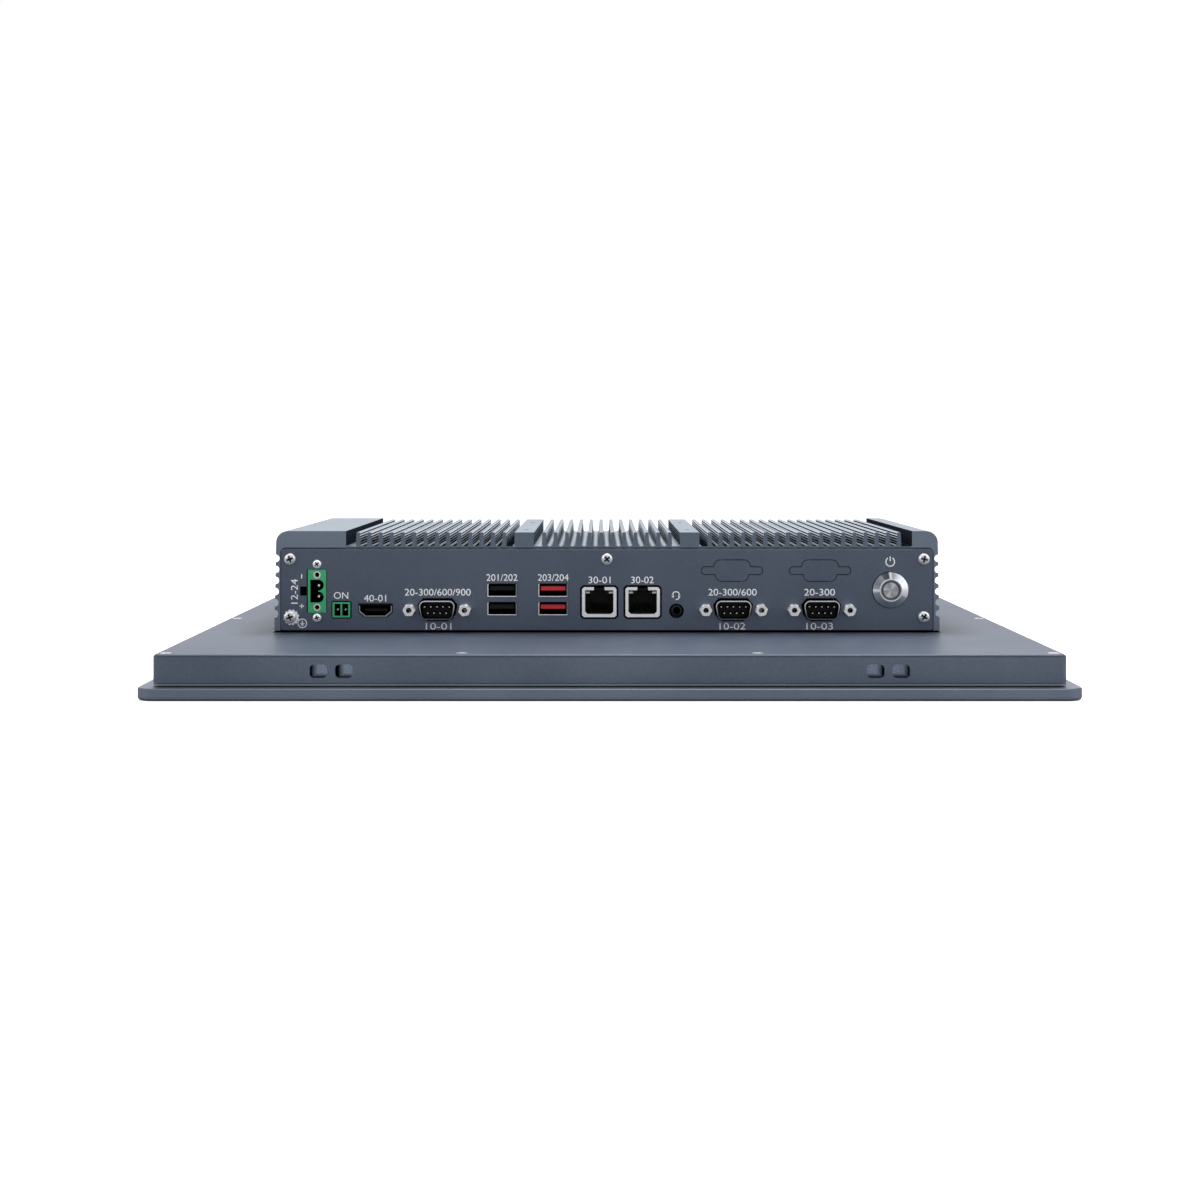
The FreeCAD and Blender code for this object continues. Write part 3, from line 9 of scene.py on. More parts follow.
import bmesh
import bpy
import numpy as np
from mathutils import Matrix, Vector


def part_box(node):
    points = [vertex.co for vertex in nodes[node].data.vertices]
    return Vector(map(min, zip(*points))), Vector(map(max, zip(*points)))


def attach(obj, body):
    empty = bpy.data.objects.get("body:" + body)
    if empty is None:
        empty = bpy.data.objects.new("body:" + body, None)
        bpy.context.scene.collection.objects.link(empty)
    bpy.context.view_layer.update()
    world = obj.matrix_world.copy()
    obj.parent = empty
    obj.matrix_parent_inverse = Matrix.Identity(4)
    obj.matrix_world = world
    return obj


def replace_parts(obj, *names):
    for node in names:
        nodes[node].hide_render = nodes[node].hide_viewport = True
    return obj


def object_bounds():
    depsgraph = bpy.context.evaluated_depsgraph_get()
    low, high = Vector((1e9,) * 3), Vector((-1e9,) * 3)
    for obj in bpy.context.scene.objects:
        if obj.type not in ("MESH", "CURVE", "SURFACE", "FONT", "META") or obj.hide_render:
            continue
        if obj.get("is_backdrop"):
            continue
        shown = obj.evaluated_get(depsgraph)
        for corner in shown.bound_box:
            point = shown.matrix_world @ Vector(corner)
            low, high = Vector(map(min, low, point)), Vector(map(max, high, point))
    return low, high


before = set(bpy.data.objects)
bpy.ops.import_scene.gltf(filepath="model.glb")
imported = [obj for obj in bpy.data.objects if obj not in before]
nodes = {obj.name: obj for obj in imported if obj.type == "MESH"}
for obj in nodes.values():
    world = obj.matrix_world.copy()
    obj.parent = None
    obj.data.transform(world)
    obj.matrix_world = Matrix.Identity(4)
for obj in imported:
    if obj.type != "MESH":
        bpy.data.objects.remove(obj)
cad_low, cad_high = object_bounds()
MM = 0.001
print("solids", len(nodes), "size in mm", [round(v / MM, 1) for v in cad_high - cad_low])

# %% [markdown]
# ## The camera
# The picture was taken from straight ahead, level, 800 mm in front of the connector plate and 104 mm above
# the table, so upright edges stay upright. A level camera with a little vertical shift does the same. Its
# lens is so long that one metre, seen from one metre away, covers 1770 pixels of the picture.

# %% Camera
PLATE_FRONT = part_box("io_plate")[0].y
CAMERA_AWAY = 800 * MM
CAMERA_HEIGHT = 103.7 * MM
CAMERA_SIDE = -3.96 * MM
PICTURE = 1200
HORIZON_ROW = 443
SENSOR = 36.0
PIXELS_AT_ONE = 1770
lens = bpy.data.cameras.new("camera")
lens.sensor_width = SENSOR
lens.lens = PIXELS_AT_ONE * SENSOR / PICTURE
lens.shift_y = (HORIZON_ROW - PICTURE / 2) / PICTURE
lens.clip_start = 0.01
lens.clip_end = 200.0
camera = bpy.data.objects.new("camera", lens)
camera.location = (CAMERA_SIDE, PLATE_FRONT - CAMERA_AWAY, CAMERA_HEIGHT)
camera.rotation_euler = (math.radians(90), 0, 0)
bpy.context.scene.collection.objects.link(camera)
bpy.context.scene.camera = camera
bpy.context.scene.view_settings.view_transform = "Standard"
print("camera at", [round(v, 4) for v in camera.location], "shift", round(lens.shift_y, 4))

# %% [markdown]
# ## Colour and nodes
# Colours are written as they look on screen, in hex, and turned to linear light in one place. One helper
# adds a shader node with its settings and its links, so that a finish reads as a short list. Shorter ones
# stand for arithmetic, for a mix of two colours, and for the three parts of a place or a normal.


# %% Colour and node helpers
def linear(hex_colour):
    """Linear light of an sRGB hex colour: a straight part near black, a power of 2.4 above it."""
    value = np.array([int(hex_colour[i:i + 2], 16) for i in (1, 3, 5)]) / 255
    light = np.where(value <= 0.04045, value / 12.92, ((value + 0.055) / 1.055) ** 2.4)
    return (*[float(v) for v in light], 1.0)


def add(tree, kind, settings=None, **sockets):
    """One node: settings are its properties, and each socket gets a value or a link.
    A socket is named with _ for a space, or as i and its number."""
    made = tree.nodes.new(kind)
    for key, value in (settings or {}).items():
        setattr(made, key, value)
    for key, value in sockets.items():
        socket = made.inputs[int(key[1:]) if key[1:].isdigit() else key.replace("_", " ")]
        if isinstance(value, bpy.types.NodeSocket):
            tree.links.new(value, socket)
        else:
            socket.default_value = value
    return made


def empty_material(name):
    """A material without nodes, and its tree."""
    made = bpy.data.materials.new(name)
    made.use_nodes = True
    made.node_tree.nodes.clear()
    return made, made.node_tree


def calc(tree, operation, *values):
    """A math node on one or two values."""
    values = {f"i{k}": v for k, v in enumerate(values)}
    return add(tree, "ShaderNodeMath", {"operation": operation}, **values).outputs[0]


def vector(tree, operation, *values):
    """A vector math node on one or two vectors."""
    values = {f"i{k}": v for k, v in enumerate(values)}
    return add(tree, "ShaderNodeVectorMath", {"operation": operation}, **values).outputs[0]


def product(tree, first, *others):
    """All the values multiplied."""
    for other in others:
        first = calc(tree, "MULTIPLY", first, other)
    return first


def distance(tree, value, middle):
    """How far a value is from a middle, to either side."""
    return calc(tree, "ABSOLUTE", calc(tree, "SUBTRACT", value, middle))


def between(tree, value, start, end):
    """A share that goes from 0 at start to 1 at end, and stays there beyond."""
    return add(tree, "ShaderNodeMapRange", Value=value, From_Min=start, From_Max=end).outputs[0]


def mixed(tree, share, first, second):
    """The first colour at share 0, the second at share 1."""
    return add(tree, "ShaderNodeMix", {"data_type": "RGBA"}, i0=share, i6=first, i7=second).outputs[2]


def xyz(tree, value):
    """The parts X, Y and Z of a vector."""
    return add(tree, "ShaderNodeSeparateXYZ", Vector=value).outputs


print("red plastic in linear light", [round(v, 3) for v in linear("#A81C28")[:3]])

# %% [markdown]
# ## A finish with a grain
# A blasted, brushed or coated surface has a grit with a size in millimetres. The same noise that moves the
# colour a little also moves the roughness and the height, because on the real part all three come from the
# same grit. A wide, faint cloud is added, since no coat is quite even.

# %% The grained finish
CLOUD = 45 * MM
ROUGHNESS_SPAN = 0.06
NORMAL_SPECULAR = 0.5


def grained(name, dark, light, metallic, roughness, grain, depth, long=(1, 1, 1), shades=(), **sockets):
    """Noise with spots grain mm wide, stretched by long; height depth mm, roughness about its middle value.
    Each of the shades is a share, worked out from the place and the normal, the colour it leads to, and
    whether the surface loses its shine there. A finish that glows does so in its own colour."""
    made, tree = empty_material(name)
    where = add(tree, "ShaderNodeTexCoord").outputs
    place = where["Object"]
    scale = tuple(1 / (grain * MM * s) for s in long)
    sized = add(tree, "ShaderNodeMapping", Vector=place, Scale=scale).outputs[0]
    fine = add(tree, "ShaderNodeTexNoise", Vector=sized, Scale=1.0, Detail=3.0, Roughness=0.6).outputs[0]
    cloud = add(tree, "ShaderNodeTexNoise", Vector=place, Scale=1 / CLOUD, Detail=2.0).outputs[0]
    colour = mixed(tree, between(tree, calc(tree, "ADD", fine, cloud), 0.7, 1.3), linear(dark), linear(light))
    shine = 1.0
    for share_of, goal, dull in shades:
        part = share_of(tree, place, where["Normal"])
        colour = mixed(tree, part, colour, linear(goal))
        if dull:
            left = calc(tree, "SUBTRACT", 1.0, part)
            shine = left if shine == 1.0 else calc(tree, "MULTIPLY", shine, left)
    low, high = roughness - ROUGHNESS_SPAN, roughness + ROUGHNESS_SPAN
    rough = add(tree, "ShaderNodeMapRange", Value=fine, From_Min=0.3, From_Max=0.7, To_Min=low, To_Max=high)
    bump = add(tree, "ShaderNodeBump", Strength=1.0, Distance=depth * MM, Height=fine)
    shader = add(tree, "ShaderNodeBsdfPrincipled", Base_Color=colour, Metallic=metallic,
                 Roughness=rough.outputs[0], Normal=bump.outputs[0])
    if shine != 1.0:
        for key, full in (("Metallic", metallic), ("Specular IOR Level", NORMAL_SPECULAR)):
            tree.links.new(calc(tree, "MULTIPLY", shine, full), shader.inputs[key])
    for key, value in sockets.items():
        shader.inputs[key.replace("_", " ")].default_value = value
    if "Emission_Strength" in sockets:
        tree.links.new(colour, shader.inputs["Emission Color"])
    add(tree, "ShaderNodeOutputMaterial", Surface=shader.outputs[0])
    return made


def behind(front, fade=0.7):
    """A painted shade that grows from a front, along Y in mm, to full at a depth of fade mm behind it, for the
    dark inside a mouth.
    """
    def share(tree, place, normal):
        return between(tree, xyz(tree, place)["Y"], front * MM, (front + fade) * MM)
    return share


def outside(tree, place, middle, half, cut, axes="XZ", taper=0.0):
    """How far a point lies outside a rectangle with cut corners, seen along the third axis; less than 0 inside.
    The taper is how much narrower it gets to each side for each length down."""
    spot = xyz(tree, place)
    away = [calc(tree, "SUBTRACT", distance(tree, spot[axis], centre), reach)
            for axis, centre, reach in zip(axes, middle, half)]
    if taper:
        down = calc(tree, "SUBTRACT", middle[1] + half[1], spot[axes[1]])
        away[0] = calc(tree, "ADD", away[0], calc(tree, "MULTIPLY", down, taper))
    corner = calc(tree, "MULTIPLY", calc(tree, "ADD", calc(tree, "ADD", *away), cut), math.sqrt(0.5))
    return calc(tree, "MAXIMUM", calc(tree, "MAXIMUM", *away), corner)


def round_reach(tree, place, middle):
    """How far a point is from an axis along Y that goes through middle, an X and a Z."""
    away = vector(tree, "SUBTRACT", place, (middle[0], 0, middle[1]))
    flat = vector(tree, "MULTIPLY", away, (1, 0, 1))
    return add(tree, "ShaderNodeVectorMath", {"operation": "LENGTH"}, i0=flat).outputs["Value"]


def front_view(name):
    """Middle and half size of a solid, seen from the front."""
    low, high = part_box(name)
    return ((low.x + high.x) / 2, (low.z + high.z) / 2), ((high.x - low.x) / 2, (high.z - low.z) / 2)


def paint(finish, *names):
    """Gives a finish to the slots of solids."""
    for name in names:
        slots = nodes[name].material_slots
        if not slots:
            nodes[name].data.materials.append(finish)
        for each in slots:
            each.material = finish
    print(finish.name, "on", len(names), "solids")


# %% [markdown]
# ## The housing
# The extruded cover, the bezel and the two end plates are aluminium, blasted with fine grit and anodised in
# blue grey. Anodising keeps the metal's gloss at a flat angle, so tops look pale and fronts look dark. The
# sheet cover of the panel is steel with a fine powder coat, which is a plastic and shines less. Narrow gaps
# and the undersides of teeth get no light, so they get painted shade, as do rounded edges and the cover round
# the foot of the box; the upper sides of teeth and the floor between the middle fins get painted highlights.
# Each is placed by where a point is and how it faces.

# %% Housing finishes
plate_low, plate_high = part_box("io_plate")
cover_low, cover_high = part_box("heatsink_cover")
PLATE_X = (plate_low.x + plate_high.x) / 2
PLATE_Z = plate_low.z
PLATE_HALF = (plate_high.x - plate_low.x) / 2
PLATE_CORNER = 2.0 * MM
FINS_LEFT = cover_low.x + 33 * MM
FINS_RIGHT = cover_high.x - 13 * MM
FINS_LOW = cover_high.z - 7 * MM
FINS_TOP = cover_high.z - 0.6 * MM
FINS_ROOT = FINS_TOP - 5.6 * MM
TEETH = 5
DARK_TO, LIT_FROM = 0.56, 0.64
WALL_LEFT = PLATE_X - 118.25 * MM
WALL_RIGHT = PLATE_X + 138.25 * MM
SLOT_ENDS = (-124.7 * MM, -113.5 * MM, 114.4 * MM, 125.2 * MM)
SLOT_LOW = 6.2 * MM
MOUTH = PLATE_FRONT / MM - 0.5


def seam(tree, place, normal):
    """The narrow line round the end plates, where they lie on the extrusion and no light gets in."""
    spot = xyz(tree, place)
    aside = calc(tree, "SUBTRACT", distance(tree, spot["X"], PLATE_X), PLATE_HALF - PLATE_CORNER)
    above = calc(tree, "SUBTRACT", spot["Z"], plate_high.z - PLATE_CORNER)
    aside, above = [calc(tree, "MAXIMUM", value, 0.0) for value in (aside, above)]
    squares = calc(tree, "ADD", calc(tree, "MULTIPLY", aside, aside), calc(tree, "MULTIPLY", above, above))
    return between(tree, calc(tree, "SQRT", squares), PLATE_CORNER + 0.5 * MM, PLATE_CORNER + 0.3 * MM)


def among_fins(tree, spot):
    """1 between the two end blocks of the cover, 0 on them."""
    left = between(tree, spot["X"], FINS_LEFT, FINS_LEFT + 0.2 * MM)
    return calc(tree, "MULTIPLY", left, between(tree, spot["X"], FINS_RIGHT, FINS_RIGHT - 0.2 * MM))


def tooth(tree, place, normal):
    """For the saw-toothed flanks: where on a tooth a point is, from 0 at its lower root by 0.5 at its tip to 1,
    how high on the fin, from 0 to 1, and whether it is on a flank at all."""
    spot = xyz(tree, place)
    high = between(tree, spot["Z"], FINS_ROOT, FINS_TOP)
    part = calc(tree, "FRACT", calc(tree, "MULTIPLY", high, TEETH))
    side = between(tree, calc(tree, "ABSOLUTE", xyz(tree, normal)["X"]), 0.3, 0.6)
    over = between(tree, spot["Z"], FINS_ROOT - 0.1 * MM, FINS_ROOT)
    return part, high, product(tree, side, among_fins(tree, spot), over)


def under_teeth(tree, place, normal):
    """The lower part of each saw tooth, which faces down, where the next tooth keeps the light off."""
    part, high, flank = tooth(tree, place, normal)
    return calc(tree, "MULTIPLY", flank, between(tree, part, LIT_FROM, DARK_TO))


def painted_tooth_highlight(tree, place, normal):
    """The upper part of each saw tooth, which faces up, painted lighter as a highlight, more so higher up."""
    part, high, flank = tooth(tree, place, normal)
    return product(tree, flank, between(tree, part, DARK_TO, LIT_FROM), between(tree, high, 0.0, 0.8))


def shut_walls(tree, place, normal):
    """The upright walls of the end blocks beside the fins, in their own shadow."""
    spot = xyz(tree, place)
    side = between(tree, calc(tree, "ABSOLUTE", xyz(tree, normal)["X"]), 0.8, 0.95)
    near = [between(tree, distance(tree, spot["X"], wall), 0.6 * MM, 0.4 * MM)
            for wall in (WALL_LEFT, WALL_RIGHT)]
    over = between(tree, spot["Z"], FINS_LOW, FINS_LOW + 0.3 * MM)
    return product(tree, side, over, calc(tree, "MAXIMUM", *near))


def shaded_plate_sides(tree, place, normal):
    """Painted shade on the rounded side and lower edges of the end plates, which face into the seam."""
    way = xyz(tree, normal)
    side = between(tree, calc(tree, "ABSOLUTE", way["X"]), 0.25, 0.6)
    return calc(tree, "MAXIMUM", side, between(tree, way["Z"], -0.2, -0.5))


def shaded_rounding(first, full, last, gone):
    """A painted shade, darker than the surface, on the rounding between a wall and a top, where the normal's
    height is between full and last.
    """
    def share(tree, place, normal):
        up = xyz(tree, normal)["Z"]
        return calc(tree, "MULTIPLY", between(tree, up, first, full), between(tree, up, gone, last))
    return share


def beside_ports(tree, place, normal):
    """The edges of the plate's cut-outs, in the shadow of the connectors that stand in them. Each is a
    rectangle with its cut corners, the width of the dark line round it, and its taper."""
    # The plate's lowest edge is painted dark too, as shade over the gap under it.
    share = between(tree, xyz(tree, place)["Z"], PLATE_Z + 0.45 * MM, PLATE_Z + 0.25 * MM)
    edges = []
    for number in (1, 2):
        edges.append((*front_view(f"network_port_{number}_shield"), 0.8 * MM, 0.95 * MM, 0.0))
    for number in (1, 2, 3):
        middle = front_view(f"serial_port_{number}_shell")[0]
        edges.append((middle, (8.45 * MM, 4.3 * MM), 2.4 * MM, 1.0 * MM, math.tan(math.radians(10))))
    edges.append((*front_view("switch_terminal_housing"), 0.3 * MM, 0.65 * MM, 0.0))
    for middle, half, cut, wide, taper in edges:
        away = outside(tree, place, middle, half, cut, "XZ", taper)
        share = calc(tree, "MAXIMUM", share, between(tree, away, wide, wide - 0.15 * MM))
    reach = round_reach(tree, place, front_view("power_button_body")[0])
    return calc(tree, "MAXIMUM", share, between(tree, reach, 8.35 * MM, 8.2 * MM))


def near_box(tree, place, normal):
    """The shadow of the box on the panel cover: none 22 mm away, over half at its foot, black under it."""
    middle = ((cover_low.x + cover_high.x) / 2, (PLATE_FRONT + cover_high.y) / 2)
    half = ((cover_high.x - cover_low.x) / 2, (cover_high.y - PLATE_FRONT) / 2)
    away = outside(tree, place, middle, half, 0.0, "XY")
    wide = calc(tree, "MULTIPLY", between(tree, away, 22 * MM, 0.0), 0.6)
    return calc(tree, "MAXIMUM", wide, between(tree, away, 1.3 * MM, 0.3 * MM))


def fin_fronts(tree, place, normal):
    """The sawn front ends of fins and ribs, between the two end blocks."""
    front = between(tree, xyz(tree, normal)["Y"], -0.7, -0.95)
    return calc(tree, "MULTIPLY", front, among_fins(tree, xyz(tree, place)))


def fin_floor(tree, place, normal):
    """The floor between the fins, bright because the sky above it is."""
    flat = between(tree, xyz(tree, normal)["Z"], 0.8, 0.95)
    low = between(tree, xyz(tree, place)["Z"], FINS_LOW + 1.5 * MM, FINS_LOW + 1.2 * MM)
    return calc(tree, "MULTIPLY", flat, low)


def shaded_floor(tree, place, normal):
    """The same floor in the outer groups of fins, where the teeth keep the light off."""
    across = xyz(tree, place)["X"]
    outer = between(tree, distance(tree, across, PLATE_X), 42 * MM, 43 * MM)
    inner = between(tree, across, WALL_LEFT + 4.4 * MM, WALL_LEFT + 4.8 * MM)
    return product(tree, outer, inner, fin_floor(tree, place, normal))


def slot_gloom(tree, place, normal):
    """The side of the module behind the clamp slots: dark low down and towards the outer end of each slot."""
    spot = xyz(tree, place)
    share = between(tree, spot["Z"], SLOT_LOW + 1.8 * MM, SLOT_LOW)
    for end in SLOT_ENDS:
        near = between(tree, distance(tree, spot["X"], end), 3.2 * MM, 0.6 * MM)
        share = calc(tree, "MAXIMUM", share, near)
    return share


# Painted shade: the roundings of the plates, the bezel and the powder-coated cover are darker than the surface,
# and the plates' side and lower edges are near black.
BLASTED = ("#616A7B", "#6F7888", 1.0, 0.42, 0.45, 0.008)
plate_edge_shade = [(shaded_plate_sides, "#08090A", True), (shaded_rounding(0.2, 0.5, 0.92, 0.98), "#3B424C", False)]
# Painted highlights on the extrusion: the floor between the fins and the upper faces of the teeth. Painted
# shade: the outer floors, the end walls, the lower faces of the teeth and the seam.
anodised_extrusion = grained(
    "anodised_aluminium_extrusion", "#7F8C9C", "#919EAE", 1.0, 0.36, 0.35, 0.006, (1, 8, 1),
    [(fin_floor, "#A6B1BE", False), (shaded_floor, "#14171C", True), (fin_fronts, "#758292", False),
     (shut_walls, "#2B3038", True), (painted_tooth_highlight, "#C4CFDD", False), (under_teeth, "#020203", True),
     (seam, "#15181C", True)])
anodised_bezel = grained("anodised_aluminium_bezel", "#717B8A", "#818B9A", 1.0, 0.42, 0.3, 0.006,
                         shades=[(shaded_rounding(0.2, 0.4, 0.95, 0.99), "#545D6A", False)])
anodised_plate = grained("anodised_aluminium_plate", *BLASTED,
                         shades=plate_edge_shade + [(beside_ports, "#040405", True)])
anodised_back = grained("anodised_aluminium_back_plate", *BLASTED, shades=plate_edge_shade)
powder_coat = grained("powder_coated_steel", "#4D5768", "#5E6879", 0.45, 0.43, 0.5, 0.02,
                      shades=[(shaded_rounding(0.05, 0.3, 0.78, 0.88), "#343B47", False),
                              (near_box, "#08090B", True)])
painted_edge = grained("painted_steel_edge", "#77808B", "#88919B", 0.5, 0.45, 0.3, 0.004)
paint(anodised_extrusion, "heatsink_cover")
paint(anodised_bezel, "front_bezel")
paint(anodised_plate, "io_plate")
paint(anodised_back, "rear_end_plate")
paint(powder_coat, "rear_cover")
paint(painted_edge, "display_frame")

# %% [markdown]
# ## Plated and moulded small parts
# Screws and shells are steel under nickel, zinc or tin, pins are gold or tin, and housings are moulded in
# filled nylon, which is slightly rough. Each of them is one grained finish with its own numbers.


# %% Small finishes
def front_edge(tree, place, normal):
    """The cut front edge of the base plate, in the dark gap under the connector plate."""
    return between(tree, xyz(tree, place)["Y"], PLATE_FRONT + 4 * MM, PLATE_FRONT + 3 * MM)


def shaded_low_on_port(tree, place, normal):
    """Painted shade on the lower part of a serial shell, which faces the table."""
    middle = front_view("serial_port_1_shell")[0][1]
    return between(tree, xyz(tree, place)["Z"], middle + 2.5 * MM, middle - 2.5 * MM)


def around_mouth(tree, place, normal):
    """A network shield's front without its bright frame: the corners, the mouth and the latch slot, painted
    dark as the shade of the gap round the shield and of the openings in it.
    """
    share = 1.0
    for number in (1, 2):
        middle, half = front_view(f"network_port_{number}_shield")
        outer = between(tree, outside(tree, place, middle, half, 0.9 * MM), -0.1 * MM, 0.05 * MM)
        mouth = outside(tree, place, (middle[0], middle[1] - 0.05 * MM), (6.45 * MM, 5.3 * MM), 1.1 * MM)
        slot = outside(tree, place, (middle[0], middle[1] + 6 * MM), (2.4 * MM, 3 * MM), 0.0)
        inner = between(tree, calc(tree, "MINIMUM", mouth, slot), 0.05 * MM, -0.1 * MM)
        share = calc(tree, "MULTIPLY", share, calc(tree, "MAXIMUM", outer, inner))
    return share


def unlit_rims(tree, place, normal):
    """The rims of the data ports but for their left and lower sides, which catch the light, and the right
    sides, which catch a little of it."""
    lit = 0.0
    for name in ("black_data_port_shell", "red_data_port_shell"):
        middle = front_view(name)[0][0]
        left = outside(tree, place, (middle - 6.6 * MM, 33 * MM), (0.4 * MM, 8 * MM), 0.0)
        lit = calc(tree, "MAXIMUM", lit, between(tree, left, 0.2 * MM, 0.0))
        right = outside(tree, place, (middle + 6.6 * MM, 33 * MM), (0.3 * MM, 8 * MM), 0.0)
        lit = calc(tree, "MAXIMUM", lit, calc(tree, "MULTIPLY", between(tree, right, 0.2 * MM, 0.0), 0.3))
        for tongue in DATA_LOW:
            low = outside(tree, place, (middle, tongue), (6.4 * MM, 0.35 * MM), 0.0)
            lit = calc(tree, "MAXIMUM", lit, between(tree, low, 0.2 * MM, 0.0))
    return calc(tree, "SUBTRACT", 1.0, lit)


def shaded_top_of_video(tree, place, normal):
    """Painted shade on the upper rim of the video port."""
    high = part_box("video_port_shell")[1].z
    return between(tree, xyz(tree, place)["Z"], high - 0.8 * MM, high - 0.5 * MM)


def jack_ring(tree, place, normal):
    """The bevel inside the audio jack's mouth."""
    reach = round_reach(tree, place, front_view("audio_jack")[0])
    return product(tree, between(tree, reach, 1.65 * MM, 1.8 * MM), between(tree, reach, 2.35 * MM, 2.1 * MM))


DATA_LOW = [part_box("black_data_port_shell")[0].z + rise * MM for rise in (0.9, 9.2)]
# Painted shade on the connectors: inside their mouths the colour turns near black, and rims turned from the
# lamps, the upper rim of the video port and the lower half of each serial shell are darker.
nickel = grained("nickel_plated_steel", "#A9ACB1", "#C9CBCF", 1.0, 0.24, 0.15, 0.001)
satin_nickel = grained("satin_nickel_shell", "#EDEFF2", "#FFFFFF", 0.5, 0.3, 0.25, 0.0005,
                       shades=[(unlit_rims, "#0C0D0F", True), (behind(MOUTH + 0.3), "#040405", True)])
video_nickel = grained("satin_nickel_video_shell", "#A9ACB1", "#BFC2C6", 1.0, 0.3, 0.25, 0.002,
                       shades=[(shaded_top_of_video, "#1A1B1E", True), (behind(MOUTH + 0.3), "#040405", True)])
tin_shield = grained("tin_plated_shield", "#F4F6FA", "#FFFFFF", 0.5, 0.35, 0.25, 0.0005,
                     shades=[(around_mouth, "#060607", True), (behind(MOUTH + 0.3), "#040405", True)])
serial_nickel = grained("nickel_serial_shell", "#EEEFF1", "#FBFBFC", 1.0, 0.25, 0.25, 0.002,
                        shades=[(shaded_low_on_port, "#6E737A", False), (behind(MOUTH - 3.0, 0.5), "#08090A", True)])
zinc = grained("zinc_plated_steel", "#9DA3A8", "#BEC3C6", 1.0, 0.35, 0.3, 0.003)
zinc_sheet = grained("zinc_plated_sheet", "#9DA3A8", "#BEC3C6", 1.0, 0.35, 0.3, 0.003,
                     shades=[(front_edge, "#020202", True)])
# The contacts sit deep in the network ports, so their gold is painted darker and greyer, as shade.
gold = grained("shaded_gold_plating", "#99998A", "#B5B5A4", 1.0, 0.3, 0.15, 0.001)
brass = grained("plain_brass", "#F6EBE4", "#FFF6F0", 0.6, 0.3, 0.2, 0.001)
bright_pin = grained("tin_plated_pin", "#F4F5F6", "#FFFFFF", 0.2, 0.3, 0.2, 0.0005)
# The inlet's bracket is zinc plated sheet, painted near black as the shade in the gap beside the latch.
shaded_zinc = grained("black_zinc_sheet", "#0B0C0D", "#141517", 0.2, 0.5, 0.3, 0.003)
milled = grained("milled_aluminium", "#B4B7BA", "#D0D2D4", 1.0, 0.3, 0.5, 0.004, (1, 12, 1))
green_nylon = grained("green_nylon", "#32A46E", "#40B47C", 0.0, 0.42, 0.3, 0.008,
                      shades=[(behind(MOUTH), "#030403", True)])
black_nylon = grained("black_nylon", "#050506", "#0B0C0D", 0.0, 0.45, 0.3, 0.008, Specular_IOR_Level=0.25)
black_gloss = grained("black_polished_plastic", "#020202", "#030303", 0.0, 0.3, 0.5, 0.002,
                      shades=[(jack_ring, "#303338", False)], Specular_IOR_Level=0.1)
red_nylon = grained("red_nylon", "#C41824", "#D62A38", 0.0, 0.4, 0.3, 0.006)
black_foam = grained("black_foam_rubber", "#08090A", "#16181A", 0.0, 0.85, 0.4, 0.05)
light_window = grained("milky_light_window", "#B9BC9C", "#D6D6B8", 0.0, 0.3, 0.5, 0.002, Coat_Weight=0.3)
smoked_lens = grained("smoked_plastic_lens", "#4A505D", "#585E6C", 0.0, 0.25, 0.5, 0.002, Coat_Weight=0.5)
solder_mask = grained("green_solder_mask", "#0E4A2E", "#1C6A42", 0.0, 0.35, 1.5, 0.01)
# Painted light: the module's back glows a little in its own bluish colour, for the light that comes in through
# the clamp slots; the slot shade darkens it low down and at the slots' outer ends.
module_back_painted_glow = grained("tin_plated_module_back", "#8398B8", "#D3E2FF", 0.2, 0.4, 0.7, 0.004,
                      shades=[(slot_gloom, "#0B0D11", True)], Emission_Strength=0.22)
paint(nickel, "power_button_nut")
paint(bright_pin, "ground_washer")
paint(satin_nickel, "black_data_port_shell", "red_data_port_shell")
paint(video_nickel, "video_port_shell")
paint(tin_shield, "network_port_1_shield", "network_port_2_shield")
paint(serial_nickel, "serial_port_1_shell", "serial_port_2_shell", "serial_port_3_shell")
paint(zinc, "lcd_clips", "frame_screws", "cover_posts", "base_plate_screws",
      "box_mounting_screws", "board_screws")
paint(bright_pin, "supply_inlet_pins", "switch_terminal_pins")
paint(shaded_zinc, "supply_inlet_bracket")
paint(zinc_sheet, "base_plate")
paint(gold, "network_port_contacts")
paint(brass, "supply_inlet_nuts")
paint(milled, "heat_spreader")
paint(green_nylon, "supply_inlet_housing", "switch_terminal_housing")
paint(black_nylon, "video_port_tongue", "black_data_port_tongues", "network_port_1_insert",
      "network_port_2_insert", "serial_port_1_insulator", "serial_port_2_insulator",
      "serial_port_3_insulator")
paint(black_gloss, "audio_jack")
paint(red_nylon, "red_data_port_tongues")
paint(black_foam, "bezel_gasket", "glass_tape")
paint(light_window, "network_port_lights")
paint(smoked_lens, "power_button_ring")
paint(solder_mask, "mainboard", "memory_module", "storage_module")
paint(module_back_painted_glow, "lcd_module")

# %% [markdown]
# ## Touch glass
# The glass is clear, but its back is printed black round the display, and the display behind it is a dark
# grey when it is off. So the colour depends on the place: inside the display area or outside it.

# %% Touch glass
DISPLAY_WIDE = 304 * MM
DISPLAY_DEEP = 228 * MM


